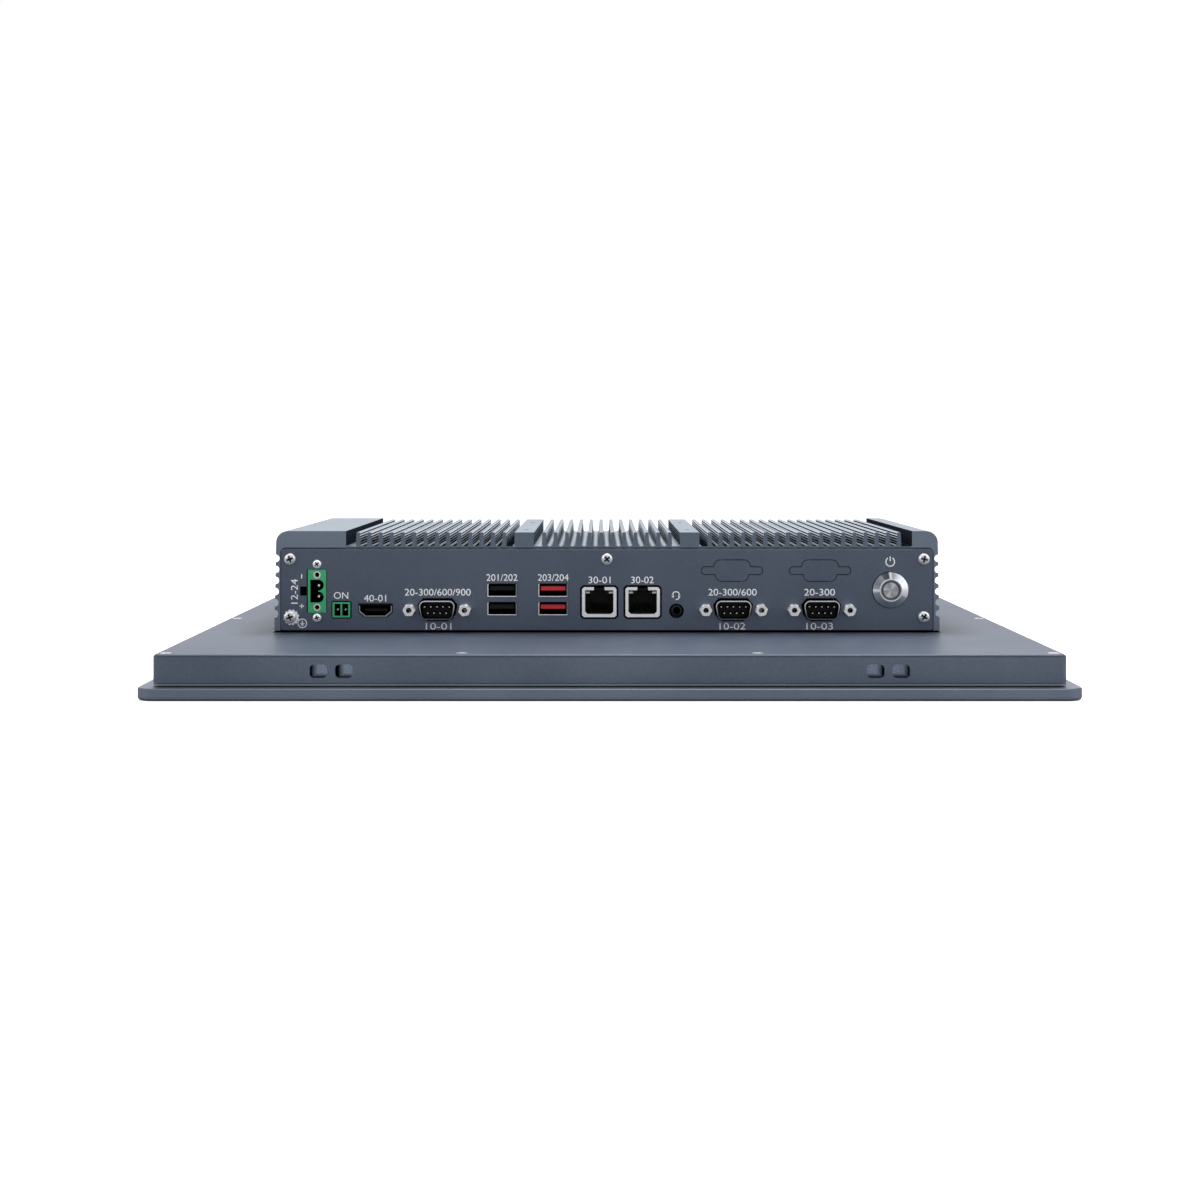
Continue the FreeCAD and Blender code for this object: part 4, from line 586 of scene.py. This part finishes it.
def touch_glass(name):
    """Dark print, and a slightly lighter display where both |x| and |y| are under half its size."""
    made, tree = empty_material(name)
    place = add(tree, "ShaderNodeTexCoord").outputs["Object"]
    spot = xyz(tree, place)
    inside = []
    for axis, size in (("X", DISPLAY_WIDE), ("Y", DISPLAY_DEEP)):
        away = calc(tree, "ABSOLUTE", spot[axis])
        inside.append(between(tree, away, size / 2 + 0.1 * MM, size / 2 - 0.1 * MM))
    smear = add(tree, "ShaderNodeTexNoise", Vector=place, Scale=1 / (30 * MM), Detail=4.0)
    tint = mixed(tree, calc(tree, "MULTIPLY", *inside), linear("#0A0B0D"), linear("#1A1D21"))
    rough = add(tree, "ShaderNodeMapRange", Value=smear.outputs[0], To_Min=0.04, To_Max=0.12)
    shader = add(tree, "ShaderNodeBsdfPrincipled", Base_Color=tint, Roughness=rough.outputs[0],
                 IOR=1.52, Coat_Weight=0.4, Coat_Roughness=0.05)
    add(tree, "ShaderNodeOutputMaterial", Surface=shader.outputs[0])
    return made


paint(touch_glass("printed_touch_glass"), "touch_glass")

# %% [markdown]
# ## Turned metal
# The push button was turned on a lathe, so its scratches run in rings. Light spreads across the rings, which
# gives the bow-tie glints on the cap. The bright and dark sectors round the axis of the cone and the cap are
# painted into the colour as well, as painted reflections. The shader needs the direction of the rings at each
# point: the cross product of the axis with the way from the axis to the point.


# %% Turned metal
def turned_metal(name, sectors, roughness, centre, ring, rim, colour_there, within=True):
    """Metal with rings ring mm apart about an axis along Y through centre. Sectors are stops of colour round
    the axis, painted reflections of the lamps, from 0 at nine o'clock by six, three and twelve o'clock back to
    1.
    Within rim mm of the axis, or beyond it, there is one colour."""
    made, tree = empty_material(name)
    place = add(tree, "ShaderNodeTexCoord").outputs["Object"]
    away = vector(tree, "SUBTRACT", place, tuple(centre))
    way = vector(tree, "NORMALIZE", vector(tree, "CROSS_PRODUCT", (0, 1, 0), away))
    reach = round_reach(tree, place, (centre.x, centre.z))
    spot = xyz(tree, away)
    angle = calc(tree, "ARCTAN2", spot["Z"], spot["X"])
    dial = add(tree, "ShaderNodeValToRGB", Fac=between(tree, angle, -math.pi, math.pi))
    stops = dial.color_ramp.elements
    for stop, (share, colour) in zip([stops[0], stops[1]] + [stops.new(s) for s, c in sectors[2:]], sectors):
        stop.position = share
        stop.color = linear(colour)
    along = add(tree, "ShaderNodeCombineXYZ", X=calc(tree, "DIVIDE", reach, ring * MM)).outputs[0]
    groove = add(tree, "ShaderNodeTexNoise", Vector=along, Scale=1.0, Detail=2.0).outputs[0]
    grey = add(tree, "ShaderNodeMapRange", Value=groove, To_Min=0.8, To_Max=1.15).outputs[0]
    tint = add(tree, "ShaderNodeVectorMath", {"operation": "SCALE"}, i0=dial.outputs[0], Scale=grey).outputs[0]
    step = 0.05 if within else -0.05
    edge = between(tree, reach, (rim + step) * MM, (rim - step) * MM)
    tint = mixed(tree, edge, tint, linear(colour_there))
    bump = add(tree, "ShaderNodeBump", Strength=0.6, Distance=0.002 * MM, Height=groove)
    shader = add(tree, "ShaderNodeBsdfPrincipled", Base_Color=tint, Metallic=1.0,
                 Roughness=roughness, Anisotropic=0.75, Tangent=way, Normal=bump.outputs[0])
    add(tree, "ShaderNodeOutputMaterial", Surface=shader.outputs[0])
    return made


cap_low, cap_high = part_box("power_button_cap")
BUTTON = (cap_low + cap_high) / 2
# Painted reflections and glints: bright and dark sectors round the axis of the cone and of the cap.
CONE_PAINTED_REFLECTIONS = [(0.0, "#E9EBED"), (1.0, "#E9EBED"), (0.015, "#E9EBED"), (0.03, "#A4A9B0"), (0.25, "#D2D5DA"),
        (0.425, "#B4B8BE"), (0.435, "#FFFFFF"), (0.53, "#E9EBED"), (0.60, "#A4A8AF"), (0.735, "#989CA3"),
        (0.755, "#F4F5F6"), (0.775, "#484C54"), (0.83, "#5A5F68"), (0.85, "#949AA2"), (0.93, "#7D828B"),
        (0.985, "#A4A8AF")]
CAP_PAINTED_GLINTS = [(0.0, "#B2B6BC"), (1.0, "#B2B6BC"), (0.1, "#C2C5CA"), (0.17, "#F0F1F3"), (0.3, "#A9ADB3"),
       (0.42, "#CDD0D4"), (0.5, "#B2B6BC"), (0.6, "#C2C5CA"), (0.67, "#F0F1F3"), (0.8, "#A9ADB3"),
       (0.92, "#CDD0D4")]
paint(turned_metal("turned_steel_cone", CONE_PAINTED_REFLECTIONS, 0.3, BUTTON, 0.12, 5.15, "#FFFFFF"), "power_button_body")
paint(turned_metal("turned_steel_cap", CAP_PAINTED_GLINTS, 0.28, BUTTON, 0.12, 3.45, "#5A606C", False), "power_button_cap")

# %% [markdown]
# ## Surfaces from numbers
# Screw heads, standoffs and pins need more detail than their solids have. Each is a grid: one direction
# runs along a profile, the other goes round an axis. The whole grid is worked out at once with numpy.


# %% Round surfaces
def around_axis(radius, height, count):
    """Points of rows that go round +Z: x = r cos a, y = r sin a, z = h. Radius is one value for each row,
    or one for each row and angle."""
    angle = np.linspace(0, 2 * np.pi, count, endpoint=False)
    r = np.broadcast_to(np.asarray(radius, float).reshape(len(height), -1), (len(height), count))
    h = np.broadcast_to(np.asarray(height, float).reshape(len(height), -1), (len(height), count))
    return np.stack([r * np.cos(angle), r * np.sin(angle), h], axis=-1)


def grid_faces(rows, count):
    """Four-sided faces between neighbouring rows that close round the axis."""
    k = np.arange(rows - 1)[:, None] * count
    a = np.arange(count)[None, :]
    b = (a + 1) % count
    return np.stack([k + a, k + count + a, k + count + b, k + b], axis=-1).reshape(-1, 4)


def turned_to(points, axis, place):
    """Turns +Z to an axis and moves the points to a place."""
    turn = np.array(Vector((0, 0, 1)).rotation_difference(Vector(axis)).to_matrix())
    return points.reshape(-1, 3) @ turn.T + np.array(place)


def solids_of(name):
    """Lowest and highest corners of the separate solids in one node: triangles that share a corner get the
    same number, the smallest spreads until nothing changes."""
    mesh = nodes[name].data
    spots = np.empty(len(mesh.vertices) * 3)
    mesh.vertices.foreach_get("co", spots)
    spots = spots.reshape(-1, 3)
    mesh.calc_loop_triangles()
    corners = np.empty(len(mesh.loop_triangles) * 3, int)
    mesh.loop_triangles.foreach_get("vertices", corners)
    same = np.unique(np.round(spots, 6), axis=0, return_inverse=True)[1].reshape(-1)
    triangles = same[corners].reshape(-1, 3)
    number = np.arange(same.max() + 1)
    while True:
        spread = number.copy()
        np.minimum.at(spread, triangles, number[triangles].min(1)[:, None])
        if (spread == number).all():
            break
        number = spread
    owner = number[same]
    return [(spots[owner == k].min(0), spots[owner == k].max(0)) for k in np.unique(owner)]


def make_piece(name, parts, finish, body, smooth=30):
    """One mesh from several grids, welded at poles and seams, facing outwards, on a body. A part is points
    and faces, and may have a third member: how deep in a recess each point is, from 0 to 1."""
    spots = np.concatenate([part[0] for part in parts])
    starts = np.cumsum([0] + [len(part[0]) for part in parts[:-1]])
    faces = [tuple(int(start + v) for v in face) for start, part in zip(starts, parts) for face in part[1]]
    mesh = bpy.data.meshes.new(name)
    mesh.from_pydata(spots.tolist(), [], faces)
    if len(parts[0]) == 3:
        deep = mesh.attributes.new("deep", "FLOAT", "POINT")
        deep.data.foreach_set("value", np.concatenate([part[2].reshape(-1) for part in parts]))
    work = bmesh.new()
    work.from_mesh(mesh)
    bmesh.ops.remove_doubles(work, verts=work.verts, dist=1e-7)
    bmesh.ops.recalc_face_normals(work, faces=work.faces)
    work.to_mesh(mesh)
    work.free()
    mesh.polygons.foreach_set("use_smooth", np.ones(len(mesh.polygons), bool))
    mesh.set_sharp_from_angle(angle=math.radians(smooth))
    mesh.materials.append(finish)
    made = bpy.data.objects.new(name, mesh)
    bpy.context.scene.collection.objects.link(made)
    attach(made, body)
    print(name, "faces", len(mesh.polygons))
    return made


# %% [markdown]
# ## Screws with a cross recess
# A pan head is a flattened dome: its height falls as a superellipse towards the rim. The cross is two bars
# pressed into it. How deep a point is pressed depends on how far it lies inside the longer and the shorter
# side of a bar, with a slope at the wall, as the driver's bit leaves it.


# %% Screw heads
def cross_recess(x, y, radius, turn):
    """How deep the cross is at a point, from 0 to 1: the deeper of two bars, each with sloping walls."""
    u = x * math.cos(turn) + y * math.sin(turn)
    v = y * math.cos(turn) - x * math.sin(turn)
    slope = 0.1 * radius
    reach, half = 0.6 * radius, 0.12 * radius

    def bar(a, b):
        return np.clip((reach - abs(a)) / slope, 0, 1) * np.clip((half - abs(b)) / slope + 0.5, 0, 1)

    centre = np.clip(1 - np.hypot(u, v) / (0.22 * radius), 0, 1)
    return np.maximum(np.maximum(bar(u, v), bar(v, u)), centre)


def pan_head(radius, height, shank, length, turn):
    """Dome z = h (1 - (r/R)^n)^(1/n) with the cross pressed in, then the seat and the shank."""
    share = 1 - (1 - np.linspace(0, 1, 26)) ** 1.4
    dome_r = radius * share
    dome_z = height * (1 - share ** 3.0) ** (1 / 3.0)
    r = np.concatenate([dome_r, [shank, shank, 0]])
    h = np.concatenate([dome_z, [0, -length, -length]])
    points = around_axis(r, h, 72)
    deep = np.zeros(points.shape[:2])
    deep[:26] = cross_recess(points[:26, :, 0], points[:26, :, 1], radius, turn)
    points[..., 2] -= 0.6 * height * deep
    return points, grid_faces(*points.shape[:2]), deep


def sunk_head(radius, height, shank, length, turn):
    """A flat top with the cross pressed in, a cone under it, and the shank."""
    top_r = radius * np.linspace(0, 1, 22)
    r = np.concatenate([top_r, [shank, shank, 0]])
    h = np.concatenate([np.zeros(22), [-height, -length, -length]])
    points = around_axis(r, h, 64)
    deep = np.zeros(points.shape[:2])
    deep[:21] = cross_recess(points[:21, :, 0], points[:21, :, 1], radius, turn)
    points[..., 2] -= 0.55 * height * deep
    return points, grid_faces(*points.shape[:2]), deep


def replace_screws(name, axis, head_height, shank, finish, shape):
    """A detailed screw for each solid of a node, each turned its own way as hand-driven screws are."""
    parts = []
    way = np.array(axis, float)
    for k, (low, high) in enumerate(solids_of(name)):
        middle = (low + high) / 2
        size = high - low
        length = float(abs(size @ way))
        radius = float(max(size * (1 - abs(way)))) / 2
        tip = middle + way * length / 2
        turn = 0.35 + 1.9 * k
        if shape is pan_head:
            seat = tip - way * head_height
            points, faces, deep = pan_head(radius, head_height, shank, length - head_height, turn)
        else:
            seat = tip
            points, faces, deep = sunk_head(radius, head_height, shank, length, turn)
        parts.append((turned_to(points, axis, seat), faces, deep))
    made = make_piece(name + "_detailed", parts, finish, "chassis")
    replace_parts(made, name)


def shaded_recess(tree, place, normal):
    """How deep a point is in a recess, as stored with the mesh; the finishes paint shade there."""
    return between(tree, add(tree, "ShaderNodeAttribute", {"attribute_name": "deep"}).outputs["Fac"], 0.1, 0.7)


# Painted shade: the cross recess of each head is darker the deeper it is.
head_nickel = grained("nickel_plated_head", "#CDCFD3", "#E4E5E8", 0.7, 0.3, 0.15, 0.001,
                      shades=[(shaded_recess, "#1A1C1F", False)])
tin_head = grained("tin_plated_head", "#EEEFF1", "#FFFFFF", 0.6, 0.3, 0.15, 0.001,
                   shades=[(shaded_recess, "#0C0D0E", True)])
replace_screws("io_plate_screws", (0, -1, 0), 1.8 * MM, 1.5 * MM, head_nickel, pan_head)
replace_screws("rear_end_plate_screws", (0, 1, 0), 1.8 * MM, 1.5 * MM, head_nickel, pan_head)
replace_screws("ground_screw", (0, -1, 0), 1.4 * MM, 1.5 * MM, head_nickel, pan_head)
replace_screws("supply_inlet_screws", (0, -1, 0), 1.4 * MM, 1.2 * MM, tin_head, pan_head)
replace_screws("rear_cover_screws", (0, 0, 1), 1.3 * MM, 1.25 * MM, head_nickel, sunk_head)

# %% [markdown]
# ## Hex standoffs with a thread
# A hexagon is a circle whose radius grows towards its corners. The lathe takes those corners off at the front
# end, so the radius there is the smaller of the hexagon and a cone. Inside, the thread is a saw wave that
# climbs one pitch in each turn.

# %% Hex standoffs
STANDOFF_FLATS = 5.0 * MM
THREAD_PITCH = 0.55 * MM
THREAD_DEEP = 0.16 * MM


def standoff(length, hole, stud, stud_length, turn, count=72):
    """Rows from the bottom of the threaded hole, over the face and down the hexagon, to the stud's end."""
    angle = np.linspace(0, 2 * np.pi, count, endpoint=False)
    folded = (angle + turn) % (np.pi / 3) - np.pi / 6
    hexagon = STANDOFF_FLATS / 2 / np.cos(folded)
    depth = np.arange(4.0 * MM, 0.3 * MM, -THREAD_PITCH / 5)
    saw = (depth[:, None] / THREAD_PITCH + angle / (2 * np.pi)) % 1
    thread = hole - THREAD_DEEP * (1 - abs(2 * saw - 1))
    corner = STANDOFF_FLATS / 2 / math.cos(math.pi / 6)
    ring = np.ones(count)
    rows = [(0 * ring, -4.0 * MM)]
    rows += [(t, -d) for t, d in zip(thread, depth)]
    rows += [(hole * ring, -0.25 * MM), (hole * 1.1 * ring, 0.0)]
    rows += [(np.minimum(hexagon, corner * 0.92) * 0.96, 0.0)]
    rows += [(np.minimum(hexagon, corner * 0.97), -0.2 * MM), (hexagon, -0.45 * MM), (hexagon, -length)]
    rows += [(stud * ring, -length), (stud * ring, -length - stud_length), (0 * ring, -length - stud_length)]
    radius = np.array([r for r, h in rows])
    height = np.array([h for r, h in rows])
    points = around_axis(radius, height, count)
    # The threaded hole is marked deep, so it is painted in shade, lighter at three places round it as painted
    # glints on the thread.
    deep = np.where(np.arange(len(rows))[:, None] <= len(depth), 0.75 - 0.35 * np.sin(3 * angle), 0.0)
    return points, grid_faces(*points.shape[:2]), deep


serial_middles = [front_view(f"serial_port_{n}_shell")[0][0] for n in (1, 2, 3)]
parts = []
for low, high in solids_of("serial_hex_standoffs"):
    middle = (low + high) / 2
    length = PLATE_FRONT - low[1]
    port = min(serial_middles, key=lambda x: abs(x - middle[0]))
    turn = math.radians(-12) if middle[0] > port else 0.0
    points, faces, deep = standoff(length, 1.2 * MM, 1.4 * MM, high[1] - PLATE_FRONT, turn)
    parts.append((turned_to(points, (0, -1, 0), (middle[0], low[1], middle[2])), faces, deep))
bright_nickel = grained("bright_nickel_standoff", "#F4F5F6", "#FFFFFF", 0.6, 0.3, 0.15, 0.001,
                        shades=[(shaded_recess, "#34373C", False)])
standoffs = make_piece("serial_hex_standoffs_threaded", parts, bright_nickel, "chassis")
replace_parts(standoffs, "serial_hex_standoffs")

# %% [markdown]
# ## Pins with round tips
# The pins of a plug are turned with a half-round tip that finds its way into the socket. A tip is a quarter
# circle in the profile.


# %% Serial pins
def pin(radius, length, count=20):
    """A quarter circle from the tip's pole to the side, then the side and the flat end."""
    bend = np.linspace(0, np.pi / 2, 7)
    r = np.concatenate([radius * np.sin(bend), [radius, 0]])
    h = np.concatenate([radius * (np.cos(bend) - 1), [-length, -length]])
    points = around_axis(r, h, count)
    # Only the rounded tip stays bright: the rest of the pin is marked deep, so it is painted in shade.
    deep = np.broadcast_to((np.arange(len(r)) > 2)[:, None], points.shape[:2]).astype(float)
    return points, grid_faces(*points.shape[:2]), deep


pin_metal = grained("plated_round_pin", "#B9BCC2", "#CDD0D5", 0.6, 0.3, 0.15, 0.0005,
                    shades=[(shaded_recess, "#141517", True)])
for number in (1, 2, 3):
    name = f"serial_port_{number}_pins"
    parts = []
    for low, high in solids_of(name):
        points, faces, deep = pin((high[0] - low[0]) / 2, high[1] - low[1])
        place = ((low[0] + high[0]) / 2, low[1], (low[2] + high[2]) / 2)
        parts.append((turned_to(points, (0, -1, 0), place), faces, deep))
    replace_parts(make_piece(name + "_round", parts, pin_metal, "chassis"), name)

# %% [markdown]
# ## Light windows of the network ports
# Only the lower outer part of each window lets light through; the rest is the black insert. A window is a
# closed box, so its six sides come from eight corners.

# %% Light windows
BOX_SIDES = [(0, 1, 3, 2), (4, 6, 7, 5), (0, 4, 5, 1), (2, 3, 7, 6), (0, 2, 6, 4), (1, 5, 7, 3)]
WINDOW_CUT = 0.6 * MM
port_middles = [front_view(f"network_port_{n}_shield")[0][0] for n in (1, 2)]
parts = []
for low, high in solids_of("network_port_lights"):
    port = min(port_middles, key=lambda x: abs(x - low[0]))
    if low[0] > port:
        low = low + np.array([WINDOW_CUT, 0, 0])
    else:
        high = high - np.array([WINDOW_CUT, 0, 0])
    high = high - np.array([0, 0, WINDOW_CUT])
    (x0, y0, z0), (x1, y1, z1) = low, high
    corners = np.array([[x, y, z] for x in (x0, x1) for y in (y0, y1) for z in (z0, z1)])
    parts.append((corners, BOX_SIDES))
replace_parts(make_piece("network_port_windows", parts, light_window, "chassis"),
            "network_port_lights")

# %% [markdown]
# ## Printed signs
# The plate is screen printed in pale grey ink. Signs for earth, power and headset are ribbons along a path,
# and the numbers are Blender text turned into a mesh. The ink stands a few hundredths of a millimetre proud.

# %% Ribbons and numbers
INK = 0.03 * MM


def ribbon(path, width):
    """A band along a path in the plane: each point moves half a width to both sides, in front and behind."""
    path = np.asarray(path, float)
    way = np.gradient(path, axis=0)
    way /= np.linalg.norm(way, axis=1)[:, None]
    side = np.stack([-way[:, 1], way[:, 0]], axis=1) * width / 2
    rows = np.stack([path + side, path - side], axis=1)
    front = np.concatenate([rows, np.full(rows.shape[:2] + (1,), INK)], axis=2)
    back = np.concatenate([rows[:, ::-1], np.zeros(rows.shape[:2] + (1,))], axis=2)
    points = np.concatenate([front, back], axis=1)
    faces = grid_faces(len(path), 4)
    ends = np.array([[0, 1, 2, 3], [3, 2, 1, 0]]) + np.array([[0], [4 * len(path) - 4]])
    return points.reshape(-1, 3), np.concatenate([faces, ends])


def arc_path(radius, start, end, count=40, centre=(0, 0)):
    """Points of an arc in the plane, angles in degrees."""
    angle = np.radians(np.linspace(start, end, count))
    return np.stack([centre[0] + radius * np.cos(angle), centre[1] + radius * np.sin(angle)], axis=1)


def digits(text, wide, height):
    """Text as a flat, closed mesh about its middle, stretched to a width and a height."""
    words = bpy.data.curves.new("words", "FONT")
    words.body = text
    words.extrude = 0.01
    holder = bpy.data.objects.new("words", words)
    bpy.context.scene.collection.objects.link(holder)
    bpy.context.view_layer.update()
    mesh = bpy.data.meshes.new_from_object(holder.evaluated_get(bpy.context.evaluated_depsgraph_get()))
    spots = np.empty(len(mesh.vertices) * 3)
    mesh.vertices.foreach_get("co", spots)
    spots = spots.reshape(-1, 3)
    faces = [tuple(p.vertices) for p in mesh.polygons]
    bpy.data.objects.remove(holder)
    bpy.data.meshes.remove(mesh)
    flat = spots[:, :2]
    reach = flat.max(0) - flat.min(0)
    flat = (flat - (flat.min(0) + flat.max(0)) / 2) / reach * np.array([wide, height])
    return np.column_stack([flat, np.where(spots[:, 2] > 0, INK, 0.0)]), faces


def on_plate(points, x, z, turn=0.0):
    """Places a flat sign on the front of the plate: its up is +Z, its front faces away from the plate."""
    c, s = math.cos(math.radians(turn)), math.sin(math.radians(turn))
    u = points[:, 0] * c - points[:, 1] * s
    v = points[:, 0] * s + points[:, 1] * c
    return np.column_stack([x + u, PLATE_FRONT - points[:, 2], z + v])


# %% Signs of the connector plate
FIGURE = 3.05
STROKE = 0.45 * MM
signs = []


def write(text, x, z, wide, turn=0.0):
    points, faces = digits(text, wide * MM, FIGURE * MM)
    signs.append((on_plate(points, PLATE_X + x * MM, PLATE_Z + z * MM, turn), faces))


def draw(path, x, z, width=STROKE):
    points, faces = ribbon(np.asarray(path, float) * MM, width)
    signs.append((on_plate(points, PLATE_X + x * MM, PLATE_Z + z * MM), faces))


write("12-24", -141.3, 17.9, 11.1, 90)
draw([(0, -1.0), (0, 1.0)], -138.0, 24.7)
draw([(-1.0, 0), (1.0, 0)], -138.0, 11.3)
draw([(0, -1.0), (0, 1.0)], -138.0, 11.3)
write("ON", -120.2, 16.1, 6.5)
write("40-01", -104.85, 14.85, 10.1)
write("20-300/600/900", -76.5, 17.57, 29.8)
write("10-01", -76.1, 2.2, 11.6)
write("201/202", -47.5, 24.2, 14.0)
write("203/204", -24.3, 24.2, 13.9)
write("30-01", -3.4, 23.1, 10.0)
write("30-02", 16.0, 23.1, 10.2)
write("20-300/600", 56.7, 17.57, 21.9)
write("10-02", 56.7, 2.2, 11.7)
write("20-300", 96.1, 17.57, 13.9)
write("10-03", 96.1, 2.2, 12.0)

# earth sign: a ring with a stem and three bars
draw(arc_path(1.95, 0, 360, 60), -137.7, 3.5, 0.34 * MM)
draw([(0, 1.2), (0, -0.1)], -137.7, 3.5, 0.35 * MM)
for half, low in ((1.0, -0.1), (0.65, -0.6), (0.3, -1.1)):
    draw([(-half, low), (half, low)], -137.7, 3.5, 0.28 * MM)

# power sign: an open ring and a bar
draw(arc_path(1.95, 122, 418, 60), 128.0, 31.3)
draw([(0, 0.3), (0, 2.4)], 128.0, 31.3)

# headset sign: a band over two pads, and the arm of the microphone
draw(arc_path(1.6, -15, 195, 40), 31.2, 16.2, 0.45 * MM)
draw([(-1.5, 0.2), (-1.35, -1.0)], 31.2, 16.2, 0.85 * MM)
draw([(1.5, 0.2), (1.4, -0.9)], 31.2, 16.2, 0.85 * MM)
draw(arc_path(1.6, -20, -95, 16, (0, -0.35)), 31.2, 16.2, 0.42 * MM)
screen_ink = grained("screen_print_ink", "#F4F6FA", "#FFFFFF", 0.0, 0.5, 0.3, 0.001)
make_piece("plate_signs", signs, screen_ink, "chassis")

# %% [markdown]
# ## Table, air and light
# The table and the air behind it are white to the camera, so the part stands on its own. A large soft lamp
# hangs above and a little behind, as over a product table, and a weaker one stands at each side. In reflections
# the air is white above and behind and dimmer towards the front, and the table is grey: a painted reflection.

# %% Table
FAR = 60.0
LOW = -0.05 * MM
table_mesh = bpy.data.meshes.new("table")
table_mesh.from_pydata([(x, y, LOW) for x, y in ((-FAR, -FAR), (FAR, -FAR), (FAR, FAR), (-FAR, FAR))], [],
                       [(0, 1, 2, 3)])
table = bpy.data.objects.new("table", table_mesh)
bpy.context.scene.collection.objects.link(table)
white_table, tree = empty_material("white_table_top")
ray = add(tree, "ShaderNodeLightPath")
grain = add(tree, "ShaderNodeTexNoise", Scale=30.0, Detail=2.0)
tone = mixed(tree, grain.outputs[0], linear("#F2F2F2"), linear("#FAFAFA"))
# Painted reflection: seen in reflections the table is grey, not white.
tone = mixed(tree, ray.outputs["Is Glossy Ray"], tone, linear("#A6A6A6"))
board = add(tree, "ShaderNodeBsdfDiffuse", Color=tone)
glow = add(tree, "ShaderNodeEmission", Color=linear("#FFFFFF"), Strength=0.6)
lit = add(tree, "ShaderNodeAddShader", i0=board.outputs[0], i1=glow.outputs[0])
choice = add(tree, "ShaderNodeMixShader", i0=ray.outputs["Is Camera Ray"], i1=board.outputs[0],
             i2=lit.outputs[0])
add(tree, "ShaderNodeOutputMaterial", Surface=choice.outputs[0])
table_mesh.materials.append(white_table)
table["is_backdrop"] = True

# %% Air
world = bpy.data.worlds.new("air")
world.use_nodes = True
tree = world.node_tree
tree.nodes.clear()
ray = add(tree, "ShaderNodeLightPath")
way = xyz(tree, add(tree, "ShaderNodeTexCoord").outputs["Generated"])
studio = add(tree, "ShaderNodeMapRange", {"interpolation_type": "SMOOTHSTEP"}, Value=way["Y"],
             From_Min=-0.25, From_Max=-0.95, To_Min=1.0, To_Max=0.55).outputs[0]
spread = add(tree, "ShaderNodeMapRange", Value=ray.outputs["Is Diffuse Ray"], To_Min=1.0, To_Max=0.5).outputs[0]
shiny = calc(tree, "MULTIPLY", ray.outputs["Is Glossy Ray"], calc(tree, "SUBTRACT", studio, 1.0))
strength = calc(tree, "ADD", spread, shiny)
sky = add(tree, "ShaderNodeBackground", Color=(1, 1, 1, 1), Strength=strength)
add(tree, "ShaderNodeOutputWorld", Surface=sky.outputs[0])
bpy.context.scene.world = world


# %% Lamps
def lamp(name, place, aim, size, power):
    """A square soft lamp that looks at a point."""
    light = bpy.data.lights.new(name, "AREA")
    light.shape = "SQUARE"
    light.size = size
    light.energy = power
    made = bpy.data.objects.new(name, light)
    made.location = place
    made.rotation_euler = (Vector(aim) - Vector(place)).to_track_quat("-Z", "Y").to_euler()
    bpy.context.scene.collection.objects.link(made)


lamp("lamp_above", (0.1, 0.15, 1.3), (0, 0, 0), 1.2, 16)
lamp("lamp_left", (-1.3, -0.9, 0.8), (0, 0, 0), 0.8, 5)
lamp("lamp_right", (1.3, -0.9, 0.8), (0, 0, 0), 0.8, 5)
print("lamps", len(bpy.data.lights))

# %% [markdown]
# ## Sizes
# The visual part should stay in the solids' box, so both boxes are measured and the largest difference between
# them is printed.

# %% Sizes
low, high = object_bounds()
apart = max(abs(a - b) for a, b in zip([*cad_low, *cad_high], [*low, *high]))
print("largest difference in mm", round(apart / MM, 3))
